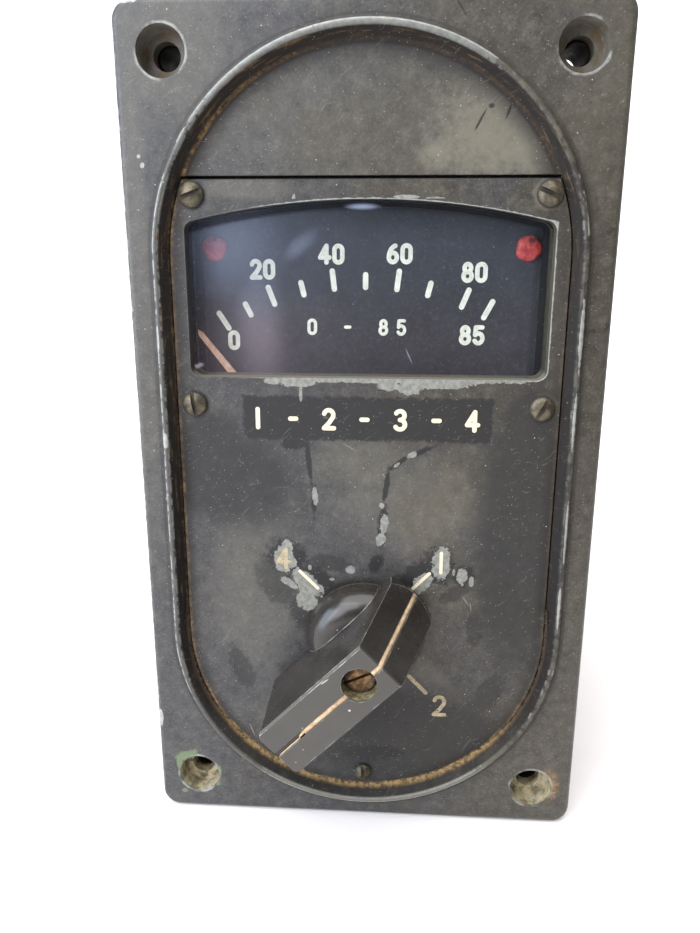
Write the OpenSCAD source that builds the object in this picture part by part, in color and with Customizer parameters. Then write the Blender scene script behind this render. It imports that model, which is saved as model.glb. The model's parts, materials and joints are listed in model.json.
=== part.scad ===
// Panel-mounted oil quantity gauge with a four-position tank selector.
// Origin: centre of the four mounting holes, on the back face of the flange.
// X runs to the right of the dial, Z up the dial, the dial faces -Y and the case runs to +Y.
// Every piece is drawn lying on its back (x right, y up the dial, z towards the eye, z = 0 on the
// flange's back face) and upright() stands it on its lower edge.

/* [Flange] */
// Width of the flange
flange_w = 82.5; // [81:0.5:90]
// Height of the flange
flange_h = 149.2; // [148:0.2:158]
// Thickness of the flange
flange_t = 6.4; // [6:0.1:9]
// Radius of the flange's corners
flange_corner_r = 3.5; // [2:0.5:4]
// Radius of the soft front edge
flange_edge_r = 1.2; // [0.6:0.1:1.8]
// Mounting holes, spacing across
hole_pitch_x = 66.7; // [65:0.1:68]
// Mounting holes, spacing up and down
hole_pitch_y = 133.4; // [132:0.2:135]
// Mounting hole diameter
mount_hole_d = 4.6; // [3.6:0.1:5.4]
// Counterbore diameter for the mounting screw's head
mount_head_d = 8; // [7:0.1:8.6]
// Counterbore depth
mount_head_depth = 3.8; // [2:0.1:4.5]
// Length of the anchor nuts behind the flange
anchor_len = 10.6; // [8:0.1:12]

/* [Raised rim] */
// Radius of the rim's crest at the round ends
rim_crest_r = 35.8; // [35.6:0.1:36.2]
// Distance between the centres of the rim's round ends
rim_span = 69; // [66:0.5:70]
// Height of the crest above the flange
rim_rise = 1.4; // [1:0.1:2.5]
// Width of the rounded crest
rim_crest_w = 1.3; // [0.8:0.1:1.6]
// Radius of the recess inside the rim
recess_r = 34.2; // [34:0.1:34.6]
// Depth of the recessed face below the flange's front
face_drop = 1.3; // [0.8:0.1:2]

/* [Cover plate] */
// Thickness of the cover plate
plate_t = 2; // [1.6:0.1:2.6]
// Gap between the plate's edge and the recess
plate_gap = 0.3; // [0.2:0.05:0.5]
// Height of the joint line between the fixed pad and the plate
split_y = 47.8; // [47.4:0.1:49]
// Width of the joint line
split_gap = 0.5; // [0.3:0.1:1]
// Width of the ledge that the plate is screwed down on
ledge_w = 5.7; // [5.2:0.1:6.2]
// Diameter of the cover screws' heads
cover_head_d = 4.4; // [4:0.1:4.8]
// Diameter of the cover screws' shanks
cover_shank_d = 2.2; // [1.8:0.1:2.4]
// Diameter of the small bottom screw's head
bottom_head_d = 3.4; // [3:0.1:3.6]

/* [Window] */
// Width of the window opening
window_w = 62.6; // [58:0.2:62.8]
// Lower edge of the window
window_bottom = 14.4; // [13.6:0.2:18]
// Top of the window's arch on the centre line
window_top = 44.4; // [42:0.2:44.4]
// Radius of the window's arched top
window_arch_r = 130; // [110:5:200]
// Radius of the window's corners
window_corner_r = 1.8; // [1:0.1:3]
// Thickness of the glass
glass_t = 2.4; // [2:0.1:2.6]
// Overlap of the glass behind the window's edge
glass_lap = 1.3; // [1:0.1:1.4]
// Thickness of the gasket in front of the glass
gasket_t = 0.6; // [0.4:0.1:0.7]
// Thickness of the ring that holds the glass
retainer_t = 1.3; // [1:0.1:1.5]
// Wall of the plate's collar round the glass
collar_wall = 0.9; // [0.8:0.1:1.2]

/* [Dial] */
// Depth of the dial's face below the flange's front
dial_depth = 10.5; // [10.4:0.1:12]
// Thickness of the dial plate
dial_t = 0.8; // [0.6:0.1:1]
// How far the dial runs past the window
dial_margin = 1; // [0.6:0.1:1.2]
// Diameter of the dial screws' heads
dial_head_d = 4.2; // [3.6:0.1:4.4]
// Distance of the dial screws from the centre line
dial_screw_x = 28.2; // [26:0.2:28.4]
// Height of the dial screws
dial_screw_y = 36.6; // [34:0.2:37]

/* [Pointer] */
// Pivot, distance from the centre line
pivot_x = -0.7; // [-1:0.1:0]
// Pivot height
pivot_y = -17; // [-17.4:0.1:-16.6]
// Length of the pointer from its pivot
pointer_len = 50; // [46:0.5:51]
// Width of the pointer's tip
pointer_tip_w = 0.9; // [0.6:0.1:1.2]
// Width of the pointer near its pivot
pointer_root_w = 2.6; // [2:0.1:3]
// Angle of the pointer at rest, from the vertical
pointer_rest = 38.4; // [36:0.2:39]
// Travel of the pointer between its stops
pointer_sweep = 69; // [60:1:72]
// Diameter of the pointer's staff
staff_d = 1.2; // [1:0.1:1.4]

/* [Case] */
// Outer radius of the case's round sides
case_r = 36; // [35.8:0.1:36.6]
// Wall of the case
case_wall = 1.2; // [1:0.1:1.3]
// Length of the case behind the flange
case_len = 92; // [90:1:110]
// Thickness of the rear cover
rear_t = 2; // [1.6:0.1:3]
// Thickness of the case gasket
case_gasket_t = 0.8; // [0.5:0.1:1]
// Length of the frame's neck inside the case
neck_len = 5; // [4:0.5:6]

/* [Chassis] */
// Thickness of the two chassis plates
chassis_t = 1.6; // [1.2:0.1:2]
// Distance of the front chassis plate behind the flange
chassis_front = 9; // [8.6:0.1:10]
// Distance of the rear chassis plate behind the flange
chassis_rear = 78; // [76:1:80]
// Diameter of the pillars
pillar_d = 4.8; // [4:0.2:5]

/* [Movement] */
// Outer radius of the movement's iron cup
cup_r = 12.4; // [12:0.1:12.6]
// Length of the movement's iron cup
cup_len = 24; // [22:0.5:26]
// Wall of the cup
cup_wall = 1; // [0.8:0.1:1.2]
// Radius of the rotor magnet
magnet_r = 6; // [5:0.1:6.4]
// Length of the rotor magnet
magnet_len = 11; // [9:0.5:12]

/* [Selector] */
// Height of the selector's axis
selector_y = -34.6; // [-35:0.1:-34.4]
// Diameter of the selector's shaft
shaft_d = 6; // [5:0.1:6.2]
// Running clearance of the shaft, on the radius
shaft_fit = 0.04; // [0.02:0.01:0.08]
// Travel of the selector between its stops
selector_sweep = 270; // [180:90:270]
// Radius of the detent wheel
detent_r = 10.9; // [10:0.1:11.2]
// Radius of the switch wafers
wafer_r = 17; // [16:0.5:17.5]
// Radius of the turning disc in each wafer
rotor_r = 9; // [8.6:0.1:9.4]
// Distance of the first wafer behind the flange
wafer_front = 54; // [53:0.5:56]
// Distance from wafer to wafer
wafer_pitch = 12; // [8:1:13]

/* [Knob] */
// Height of the knob above the cover plate
knob_h = 19.3; // [17:0.1:22]
// Width of the knob's bar at the top
knob_w = 10.2; // [9.6:0.1:11]
// Widening of the bar towards its foot, each side
knob_draft = 0.3; // [0.1:0.05:0.5]
// Distance from the axis to the tail end
knob_tail = 20.1; // [16:0.1:21]
// Distance from the axis to the ridge where the nose starts to slope
knob_ridge = 4.9; // [4.5:0.1:6]
// Distance from the axis to the tip of the nose
knob_nose = 13.5; // [12:0.1:15]
// Gap between the bar and the cover plate
knob_gap = 1.9; // [1:0.1:2.4]
// Height of the nose's tip above the cover plate
nose_h = 3.1; // [2.8:0.1:5]
// Radius of the round skirt under the bar
skirt_r = 10.5; // [10:0.1:12]
// Diameter of the screw recess in the top
knob_recess_d = 6.2; // [5.6:0.1:6.6]
// Depth of the screw recess
knob_recess_depth = 4.3; // [3.5:0.1:5]
// Width of the painted index groove
index_w = 1; // [0.7:0.1:1.4]
// Direction of the knob at rest, from the right-hand side upwards
knob_angle = 45; // [0:5:90]

/* [Rear connector] */
// Height of the connector's axis
connector_y = 12; // [8:1:16]
// Width of the square flange
connector_w = 28; // [27:0.5:30]
// Outer radius of the threaded shell
connector_r = 9.6; // [9:0.1:10]
// Length of the shell behind its flange
connector_len = 13; // [12:0.5:16]

/* [Hidden] */
$fn = 96;

// Clearances shared by neighbouring pieces
cut = 0.5;
seat_fit = 0.1;
screw_fit = 0.05;
air = 0.3;

// Levels, measured from the flange's back face towards the eye
end_y = rim_span / 2;
plate_z = flange_t - face_drop;
seat_z = plate_z - plate_t;
glass_front_z = seat_z - gasket_t;
glass_back_z = glass_front_z - glass_t;
retainer_back_z = glass_back_z - retainer_t;
dial_z = flange_t - dial_depth;
dial_back_z = dial_z - dial_t;
pointer_t = 0.5;
pointer_z = retainer_back_z - 0.7;
mask_t = 0.7;
front_plate_z = -chassis_front;
behind_front_z = front_plate_z - chassis_t;
rear_plate_z = -chassis_rear;
behind_rear_z = rear_plate_z - chassis_t;
case_end_z = -case_len;
rear_face_z = case_end_z - rear_t;

// Radii inside the case
case_in_r = case_r - case_wall;
neck_r = case_in_r - seat_fit;
neck_wall = 0.95;
neck_in_r = neck_r - neck_wall;
collar_limit_r = neck_in_r - air;
ledge_r = recess_r - ledge_w;
chassis_r = case_in_r - 1.2;

// Anchor nuts
anchor_base_r = 4.8;
anchor_base_t = 1.2;
anchor_hex_r = 3.9;
anchor_bore_r = 1.9;

// Places of the screws and pillars
cover_screw_top = [29.8, split_y - 2.7];
cover_screw_side = [30.8, window_bottom - 4.9];
bottom_screw_in = 3.4;
bottom_screw_y = -end_y - recess_r + bottom_screw_in;
bottom_shank_d = cover_shank_d * 0.72;
plate_hole_fit = 0.1;
cover_grip = 2.8;
cover_head_h = 1.3;
bottom_grip = 2.6;
bottom_head_h = 1.5;
pillar_angle = 35;
pillar_ring_r = ledge_r + 2.6;
pillar_low = [pillar_ring_r * cos(pillar_angle), -end_y - pillar_ring_r * sin(pillar_angle)];
pillar_high = [20, end_y + 21.5];
stud_r = 1.2;
stud_len = 2.2;
pillar_stud_len = chassis_t + 3;
rear_stud_len = 3;
rear_shank_r = 1.3;
rear_grip = 6;
rear_head_r = 2.6;
rear_head_h = 1.5;

// Dial's screws and posts
dial_shank_r = stud_r * 0.8;
dial_grip = 2.4;
dial_head_h = 1;
dial_post_r = 2.2;
dial_foot_r = 1.6;
dial_drop = 5.4;
tap_spare = 0.4;

// Pointer
arm_ring_r = 3.2;
hub_r = 2.6;
hub_low_z = pointer_z - pointer_t - 2.2;
hub_top_z = pointer_z + 0.2;
spigot_r = 1.82;
staff_r = staff_d / 2;
stop_ring_r = 14;
stop_pin_r = 0.6;
tail_len = 9.6;
weight_r = 2.2;
weight_t = 3;
arm_tip_len = 1.2;
tail_w = 3.2;

// Movement
movement_plate_t = 1.4;
movement_shank_r = 0.8;
movement_head_r = 1.5;
movement_head_h = 0.9;
movement_screw_r = cup_r - cup_wall - 1.6;
boss_r = 2.6;
boss_h = 1;
staff_fit = 0.03;
movement_z = behind_front_z - movement_plate_t;
cup_end_z = movement_z - cup_len;
coil_r = cup_r - cup_wall - 0.2;
core_r = coil_r - 1;
core_in_r = magnet_r + 2;
coil_in_r = magnet_r + 1.1;
coil_len = cup_len - 8;
coil_gap_angle = 24;
coil_wall = 1;
magnet_mid_z = movement_z - cup_len / 2;
cup_end_t = 1.4;
jewel_r = 1.8;
jewel_head_r = 2.5;
jewel_head_t = 1;
jewel_slot_w = 0.6;
jewel_slot_depth = 0.5;
jewel_z = cup_end_z + 3;
staff_end_z = jewel_z - 1.4;

// Selector
shaft_r = shaft_d / 2;
shaft_hole_r = shaft_r + air;
shaft_top = 12;
bush_r = 4.6;
bush_flange_r = 6.4;
bush_flange_t = 1.4;
nut_t = 1.8;
nut_r = 6.2;
bush_end_z = plate_z + nut_t + 0.4;
shaft_end_z = behind_rear_z - 3.2;
clip_t = 0.8;
clip_groove = 0.6;
clip_r = shaft_r + 1.8;
clip_z = behind_rear_z - 0.3;
tie_x = wafer_r + 3.5;
tie_r = 1.2;
tie_head_r = 2.2;
tie_head_t = 1.2;
tie_spare = 3;
tie_nut_r = 2.5;
tie_nut_t = 2;
spacer_r = 2.4;
ear_r = 3.2;
detent_plate_z = -42;
detent_plate_t = 1.2;
wheel_z = detent_plate_z - detent_plate_t - 1.3;
wheel_t = 3;
nose_r = 2;
leaf_t = 0.5;
leaf_tail = 13;
leaf_tip = 4;
leaf_foot = [3.2, 6.6, 0.8];
leaf_screw_places = [-11.4, -8];
leaf_screw_in = 1.6;
leaf_shank_r = 0.8;
leaf_head_r = 1.5;
leaf_head_h = 0.8;
leaf_tube_r = 1.4;
join = 0.01;
leaf_x = detent_r + air + 0.2;
stop_radius = 13.5;
stop_r = 1;
stop_t = 1.5;
stop_hub_r = 5.4;
stop_rim = 0.8;
stop_root = 0.4;
stop_z = wheel_z - wheel_t - 1;
stop_play = 0.5;
stop_half = (360 - selector_sweep) / 2 - asin(stop_r / stop_radius) - stop_play;
wafer_t = 1.6;
wafer_count = 2;
clip_count = 8;
blade_t = 0.4;
brush_gap = 0.1;
clip_strip_t = 0.4;
clip_w = 1.6;
clip_out = 1.6;
clip_in = 1.5;
clip_foot_in = 2.4;
tie_end_z = -wafer_front - (wafer_count - 1) * wafer_pitch - wafer_t;

// Knob, heights above the cover plate
bar_top_w = knob_w / 2;
bar_foot_w = bar_top_w + knob_draft;
bar_bevel = 0.35;
bar_lean = atan(knob_draft / (knob_h - bar_bevel - knob_gap));
tail_corner_r = 1.5;
tail_corner_fit = 0.02;
insert_r = 4;
insert_stand = 1;
recess_floor = knob_h - knob_recess_depth;
knob_screw_head_t = 1.7;
knob_screw_r = 1.4;
knob_screw_slot = 0.17;
knob_screw_grip = 6;
groove_depth = 0.35;
skirt_gap = 0.4;
skirt_edge_h = 2.2;
skirt_top_h = 6.6;
skirt_top_r = 5.6;
skirt_hollow_r = 8.4;
skirt_hollow_h = 3.4;

// Upper board
board_z = -24;
board_t = 1.6;
board_y = 32;
board_w = 46;
board_h = 26;
board_screw_x = 19;
board_stud_r = 1;
board_head_r = 2;
board_head_t = 0.8;
board_washer_t = 0.5;
spool_count = 4;
spool_pitch = 8.8;
spool_stagger = 5.5;
spool_len = 12;
spool_r = 4.8;
spool_core_r = 2.4;
spool_end_t = 1;
winding_r = 4.1;
tag_count = 9;
tag_pitch = 4.4;
tag = [1.8, 5, 0.5];
tag_out = 3;

// Rear connector
connector_flange_t = 1.6;
connector_wall = 1.2;
connector_bore = connector_r - connector_wall;
insert_back_z = case_end_z + 6;
insert_face_z = rear_face_z - 6;
pin_len = 3.6;
pin_r = 0.8;
pin_grip = 4;
inner_pins = 5;
inner_pin_ring = 2.6;
outer_pins = 10;
outer_pin_ring = 5.8;
key_w = 2;
key_in = 1.2;
key_len = 3;
shell_lap = 2;
thread_depth = 0.5;
thread_pitch = 1.4;
thread_w = 0.8;
thread_start = 0.6;
thread_turns = 6;
connector_screw_at = connector_w / 2 - 3.2;
connector_shank_r = 1;
connector_head_r = 1.9;
connector_head_h = 1.1;
connector_grip = 1.5;
rear_hole_r = connector_r + 0.3;
loom_r = 2.6;
branch_r = 0.8;
side_wire_x = loom_r + branch_r + 0.4;
grommet_r = side_wire_x + branch_r + 2;
grommet_lip = 0.8;
grommet_lip_t = 1.2;

// Colours
black_paint = [0.16, 0.16, 0.15];
plate_paint = [0.2, 0.2, 0.18];
bakelite = [0.13, 0.12, 0.11];
phenolic = [0.45, 0.27, 0.13];
copper = [0.75, 0.42, 0.22];
brass = [0.72, 0.58, 0.3];
steel = [0.62, 0.62, 0.63];
alloy = [0.74, 0.75, 0.76];
rubber_black = [0.08, 0.08, 0.08];

// Helpers

// Stands a piece that was drawn face up on its lower edge
module upright() rotate([90, 0, 0]) children();

// Flat outline with straight sides and round ends
module obround(r, half) {
  translate([0, half]) circle(r);
  translate([0, -half]) circle(r);
  translate([-r, -half]) square([2 * r, 2 * half]);
}

// Carries a flat section (x outwards, y up) once round an obround path
module obround_sweep(half) {
  for (side = [0, 1]) {
    rotate([0, 0, 180 * side]) {
      translate([0, half, 0]) rotate_extrude(angle = 180) children();
      translate([0, half, 0]) rotate([90, 0, 0]) linear_extrude(2 * half) children();
    }
  }
}

// Slab with round corners and a soft upper edge
module soft_slab(w, h, t, r, e) {
  module edge_section() {
    square([r - e, t]);
    square([r, t - e]);
    translate([r - e, t - e]) circle(e);
  }
  for (sx = [-1, 1]) {
    for (sy = [-1, 1]) {
      translate([sx * (w / 2 - r), sy * (h / 2 - r), 0]) {
        rotate_extrude() intersection() { edge_section(); square([r, t]); }
      }
    }
  }
  for (turn = [0, 180]) {
    rotate([0, 0, turn]) {
      translate([w / 2 - r, h / 2 - r, 0]) rotate([90, 0, 0]) linear_extrude(h - 2 * r) edge_section();
      rotate([0, 0, 90]) {
        translate([h / 2 - r, w / 2 - r, 0]) rotate([90, 0, 0]) linear_extrude(w - 2 * r) edge_section();
      }
    }
  }
  translate([r - w / 2, r - h / 2, 0]) cube([w - 2 * r, h - 2 * r, t]);
}

// Solid round bar between two levels
module bar(r, low, high, at = [0, 0]) {
  translate([at[0], at[1], low]) cylinder(r = r, h = high - low);
}

// Hollow round bar between two levels
module tube(r, bore, low, high, at = [0, 0]) {
  difference() {
    bar(r, low, high, at);
    bar(bore, low - cut, high + cut, at);
  }
}

// Low domed cap of height h on a circle of radius r
module dome(r, h) {
  cap_r = (r * r + h * h) / (2 * h);
  intersection() {
    translate([0, 0, h - cap_r]) sphere(cap_r);
    cylinder(r = r, h = h);
  }
}

// Slotted round-head screw, head above z = 0 and shank below
module round_screw(head_r, head_h, shank_r, shank_len, turn = 0) {
  slot_w = head_r * 0.34;
  difference() {
    union() {
      cylinder(r = head_r, h = head_h * 0.35);
      translate([0, 0, head_h * 0.35]) dome(head_r, head_h * 0.65);
      translate([0, 0, -shank_len]) cylinder(r = shank_r, h = shank_len + head_h * 0.3);
    }
    rotate([0, 0, turn]) {
      translate([-head_r - cut, -slot_w / 2, head_h * 0.45]) cube([2 * (head_r + cut), slot_w, head_h]);
    }
  }
}

// Slotted cheese-head screw
module cheese_screw(head_r, head_h, shank_r, shank_len, turn = 0, slot = 0.3) {
  slot_w = head_r * slot;
  difference() {
    union() {
      cylinder(r = head_r, h = head_h);
      translate([0, 0, -shank_len]) cylinder(r = shank_r, h = shank_len + head_h * 0.5);
    }
    rotate([0, 0, turn]) {
      translate([-head_r - cut, -slot_w / 2, head_h * 0.5]) cube([2 * (head_r + cut), slot_w, head_h]);
    }
  }
}

// Window outline, grown outwards by g
module window_outline(g = 0, low = window_bottom) {
  half = window_w / 2 + g;
  r = window_corner_r + g;
  arch = window_arch_r + g;
  centre_y = window_top - window_arch_r;
  bottom = low - g;
  corner_y = centre_y + sqrt(pow(arch - r, 2) - pow(half - r, 2));
  tangent_x = (half - r) * arch / (arch - r);
  intersection() {
    translate([0, centre_y]) circle(arch, $fn = 720);
    translate([-tangent_x, corner_y - 1]) square([2 * tangent_x, arch]);
  }
  for (side = [-1, 1]) {
    translate([side * (half - r), corner_y]) circle(r);
    translate([side * (half - r), bottom + r]) circle(r);
  }
  translate([-half, bottom + r]) square([2 * half, corner_y - bottom - r]);
  translate([r - half, bottom]) square([2 * (half - r), r + 1]);
}

// Repeats a piece at the four mounting holes
module at_mount_holes() {
  for (sx = [-1, 1]) {
    for (sy = [-1, 1]) {
      translate([sx * hole_pitch_x / 2, sy * hole_pitch_y / 2, 0]) children();
    }
  }
}

// Repeats a piece at the four pillars
module at_pillars() {
  for (side = [-1, 1]) {
    translate([side * pillar_low[0], pillar_low[1], 0]) children();
    translate([side * pillar_high[0], pillar_high[1], 0]) children();
  }
}

// Repeats a piece at the four side and top cover screws
module at_cover_screws() {
  for (side = [-1, 1]) {
    translate([side * cover_screw_top[0], cover_screw_top[1], 0]) children();
    translate([side * cover_screw_side[0], cover_screw_side[1], 0]) children();
  }
}

// Moves a piece to the selector's axis
module on_selector() translate([0, selector_y, 0]) children();

// Moves a piece to the pointer's pivot
module on_pivot() translate([pivot_x, pivot_y, 0]) children();

// Flange, rim, pad and neck

module rim_section() {
  half = rim_crest_w / 2;
  crest_y = flange_t + rim_rise - half;
  steps = 8;
  foot_x = rim_crest_r + half + 0.5;
  crest = [for (i = [0:steps])
    [rim_crest_r - half * cos(180 * i / steps), crest_y + half * sin(180 * i / steps)]];
  polygon(concat([[recess_r, seat_z], [recess_r, plate_z]], crest,
    [[foot_x, flange_t], [foot_x, seat_z]]));
}

module front_frame() upright() color(black_paint) {
  difference() {
    union() {
      difference() {
        soft_slab(flange_w, flange_h, flange_t, flange_corner_r, flange_edge_r);
        translate([0, 0, plate_z]) linear_extrude(flange_t) obround(rim_crest_r, end_y);
      }
      obround_sweep(end_y) rim_section();
      translate([0, 0, -neck_len]) linear_extrude(neck_len + 1) obround(neck_r, end_y);
    }
    translate([0, 0, seat_z]) linear_extrude(flange_t) intersection() {
      obround(recess_r, end_y);
      translate([-case_r, -flange_h]) square([2 * case_r, flange_h + split_y + split_gap / 2]);
    }
    translate([0, 0, -neck_len - cut]) linear_extrude(neck_len + cut) obround(neck_in_r, end_y);
    translate([0, 0, -cut]) linear_extrude(flange_t) intersection() {
      obround(ledge_r, end_y);
      translate([-case_r, -flange_h]) square([2 * case_r, flange_h + window_bottom]);
    }
    translate([0, 0, -cut]) linear_extrude(seat_z + 2 * cut) intersection() {
      obround(neck_in_r, end_y);
      window_outline(glass_lap + collar_wall + air);
    }
    at_mount_holes() {
      bar(mount_hole_d / 2, -cut, flange_t + cut);
      bar(mount_head_d / 2, flange_t - mount_head_depth, flange_t + cut);
    }
    at_cover_screws() bar(cover_shank_d / 2 + screw_fit, -cut, flange_t);
    bar(bottom_shank_d / 2 + screw_fit, -cut, flange_t, [0, bottom_screw_y]);
    at_pillars() bar(stud_r + screw_fit, -cut, stud_len + air);
    translate([0, 0, -cut]) linear_extrude(case_gasket_t + cut) difference() {
      obround(case_r + 1.5 * seat_fit, end_y);
      obround(neck_r, end_y);
    }
  }
}

module mount_nuts() upright() color(brass) {
  at_mount_holes() difference() {
    union() {
      bar(anchor_base_r, -anchor_base_t, 0);
      translate([0, 0, -anchor_len]) cylinder(r = anchor_hex_r, h = anchor_len, $fn = 6);
    }
    bar(anchor_bore_r, -anchor_len - cut, cut);
  }
}

// Cover plate and window

module cover_plate() upright() color(plate_paint) {
  difference() {
    union() {
      translate([0, 0, seat_z]) linear_extrude(plate_t) intersection() {
        obround(recess_r - plate_gap, end_y);
        translate([-case_r, -flange_h]) square([2 * case_r, flange_h + split_y - split_gap / 2]);
      }
      translate([0, 0, retainer_back_z]) linear_extrude(seat_z - retainer_back_z) intersection() {
        obround(collar_limit_r, end_y);
        window_outline(glass_lap + collar_wall);
      }
    }
    translate([0, 0, retainer_back_z - cut]) {
      linear_extrude(plate_z - retainer_back_z + 2 * cut) window_outline();
      linear_extrude(seat_z - retainer_back_z + cut) window_outline(glass_lap);
    }
    at_cover_screws() bar(cover_shank_d / 2 + plate_hole_fit, seat_z - cut, plate_z + cut);
    bar(bottom_shank_d / 2 + plate_hole_fit, seat_z - cut, plate_z + cut, [0, bottom_screw_y]);
    on_selector() bar(bush_r + screw_fit, seat_z - cut, plate_z + cut);
  }
}

module cover_screws() upright() color(steel) {
  turns = [20, 100, -25, 62];
  bottom_turn = 96;
  places = [[-cover_screw_top[0], cover_screw_top[1]], [-cover_screw_side[0], cover_screw_side[1]],
    cover_screw_top, cover_screw_side];
  for (i = [0:3]) {
    translate([places[i][0], places[i][1], plate_z]) {
      round_screw(cover_head_d / 2, cover_head_h, cover_shank_d / 2, plate_t + cover_grip, turns[i]);
    }
  }
  translate([0, bottom_screw_y, plate_z]) {
    round_screw(bottom_head_d / 2, bottom_head_h, bottom_shank_d / 2, plate_t + bottom_grip, bottom_turn);
  }
}

module window_glass() upright() color([0.75, 0.82, 0.85, 0.3]) {
  translate([0, 0, glass_back_z]) linear_extrude(glass_t) window_outline(glass_lap - seat_fit);
}

module glass_gasket() upright() color(rubber_black) {
  translate([0, 0, glass_front_z]) linear_extrude(gasket_t) difference() {
    window_outline(glass_lap - seat_fit);
    window_outline();
  }
}

module glass_retainer() upright() color(rubber_black) {
  translate([0, 0, retainer_back_z]) linear_extrude(retainer_t) difference() {
    window_outline(glass_lap - screw_fit);
    window_outline();
  }
}

// Dial

module dial_outline(g) {
  intersection() {
    obround(neck_in_r - air, end_y);
    window_outline(g, window_bottom - dial_drop);
  }
}

module dial_plate() upright() color([0.07, 0.075, 0.085]) {
  difference() {
    translate([0, 0, dial_back_z]) linear_extrude(dial_t) dial_outline(dial_margin);
    for (side = [-1, 1]) {
      bar(dial_shank_r + screw_fit, dial_back_z - cut, dial_z + cut, [side * dial_screw_x, dial_screw_y]);
    }
  }
}

module dial_mask() upright() color([0.04, 0.04, 0.045]) {
  inset = 0.7;
  open_drop = 20;
  translate([0, 0, dial_z]) linear_extrude(mask_t) difference() {
    dial_outline(dial_margin);
    window_outline(-inset, window_bottom - open_drop);
  }
}

module dial_screws() upright() color([0.62, 0.1, 0.08]) {
  turns = [30, 65];
  for (i = [0, 1]) {
    translate([(2 * i - 1) * dial_screw_x, dial_screw_y, dial_z]) {
      round_screw(dial_head_d / 2, dial_head_h, dial_shank_r, dial_t + dial_grip, turns[i]);
    }
  }
}

module dial_posts() upright() color(brass) {
  foot_x = 24;
  foot_y = window_bottom - 3.8;
  for (side = [-1, 1]) {
    difference() {
      bar(dial_post_r, front_plate_z, dial_back_z, [side * dial_screw_x, dial_screw_y]);
      bar(dial_shank_r + screw_fit, dial_back_z - dial_grip - tap_spare, dial_back_z + cut,
        [side * dial_screw_x, dial_screw_y]);
    }
    bar(dial_foot_r, front_plate_z, dial_back_z, [side * foot_x, foot_y]);
  }
}

// Chassis

module front_posts() upright() color(alloy) {
  at_pillars() {
    cylinder(r = stud_r, h = stud_len);
    bar(pillar_d / 2, front_plate_z, 0);
    bar(stud_r, front_plate_z - pillar_stud_len, front_plate_z);
  }
}

module front_chassis_plate() upright() color(alloy) {
  pivot_hole_r = 4;
  difference() {
    translate([0, 0, behind_front_z]) linear_extrude(chassis_t) obround(chassis_r, end_y);
    at_pillars() bar(stud_r + screw_fit, behind_front_z - cut, front_plate_z + cut);
    on_pivot() bar(pivot_hole_r, behind_front_z - cut, front_plate_z + cut);
    on_selector() bar(shaft_hole_r, behind_front_z - cut, front_plate_z + cut);
    at_ties() bar(tie_r + screw_fit, behind_front_z - cut, front_plate_z + cut);
    at_movement_screws() bar(movement_shank_r + screw_fit, behind_front_z - cut, front_plate_z + cut);
    for (side = [-1, 1]) {
      bar(board_stud_r + screw_fit, behind_front_z - cut, front_plate_z + cut,
        [side * board_screw_x, board_y]);
      stop_place(side) bar(stop_pin_r, behind_front_z - cut, front_plate_z + cut);
    }
  }
}

module chassis_pillars() upright() color(alloy) {
  at_pillars() difference() {
    bar(pillar_d / 2, rear_plate_z, behind_front_z);
    bar(stud_r + screw_fit, front_plate_z - pillar_stud_len - air, behind_front_z + cut);
    bar(stud_r + screw_fit, rear_plate_z - cut, rear_plate_z + rear_stud_len + air);
  }
}

module rear_chassis_plate() upright() color(alloy) {
  difference() {
    translate([0, 0, behind_rear_z]) linear_extrude(chassis_t) obround(chassis_r, end_y);
    at_pillars() bar(stud_r + screw_fit, behind_rear_z - cut, rear_plate_z + cut);
    on_selector() bar(shaft_r + shaft_fit, behind_rear_z - cut, rear_plate_z + cut);
    bar(grommet_r - grommet_lip, behind_rear_z - cut, rear_plate_z + cut, [0, connector_y]);
  }
}

module rear_posts() upright() color(alloy) {
  at_pillars() difference() {
    union() {
      bar(stud_r, behind_rear_z, rear_plate_z + rear_stud_len);
      bar(pillar_d / 2, case_end_z, behind_rear_z);
    }
    bar(rear_shank_r + screw_fit, case_end_z - cut, case_end_z + rear_grip + tap_spare);
  }
}

// Case

module case_shell() upright() color(black_paint) {
  translate([0, 0, case_end_z]) linear_extrude(case_len) difference() {
    obround(case_r, end_y);
    obround(case_in_r, end_y);
  }
}

module case_gasket() upright() color(rubber_black) {
  linear_extrude(case_gasket_t) difference() {
    obround(case_r, end_y);
    obround(case_in_r, end_y);
  }
}

module rear_cover() upright() color(black_paint) {
  step_len = 4;
  step_wall = 0.9;
  difference() {
    union() {
      translate([0, 0, rear_face_z]) linear_extrude(rear_t) obround(case_r, end_y);
      translate([0, 0, case_end_z]) linear_extrude(step_len) difference() {
        obround(case_in_r - seat_fit, end_y);
        obround(case_in_r - seat_fit - step_wall, end_y);
      }
    }
    at_pillars() bar(rear_shank_r + screw_fit, rear_face_z - cut, case_end_z + cut);
    bar(rear_hole_r, rear_face_z - cut, case_end_z + cut, [0, connector_y]);
    at_connector_screws() bar(connector_shank_r + screw_fit, rear_face_z - cut, case_end_z + cut);
  }
}

module rear_cover_screws() upright() color(steel) {
  turn = 35;
  at_pillars() translate([0, 0, rear_face_z]) {
    rotate([180, 0, 0]) round_screw(rear_head_r, rear_head_h, rear_shank_r, rear_t + rear_grip, turn);
  }
}

// Rear connector

module at_connector_screws() {
  for (sx = [-1, 1]) {
    for (sy = [-1, 1]) {
      translate([sx * connector_screw_at, connector_y + sy * connector_screw_at, 0]) children();
    }
  }
}

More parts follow.
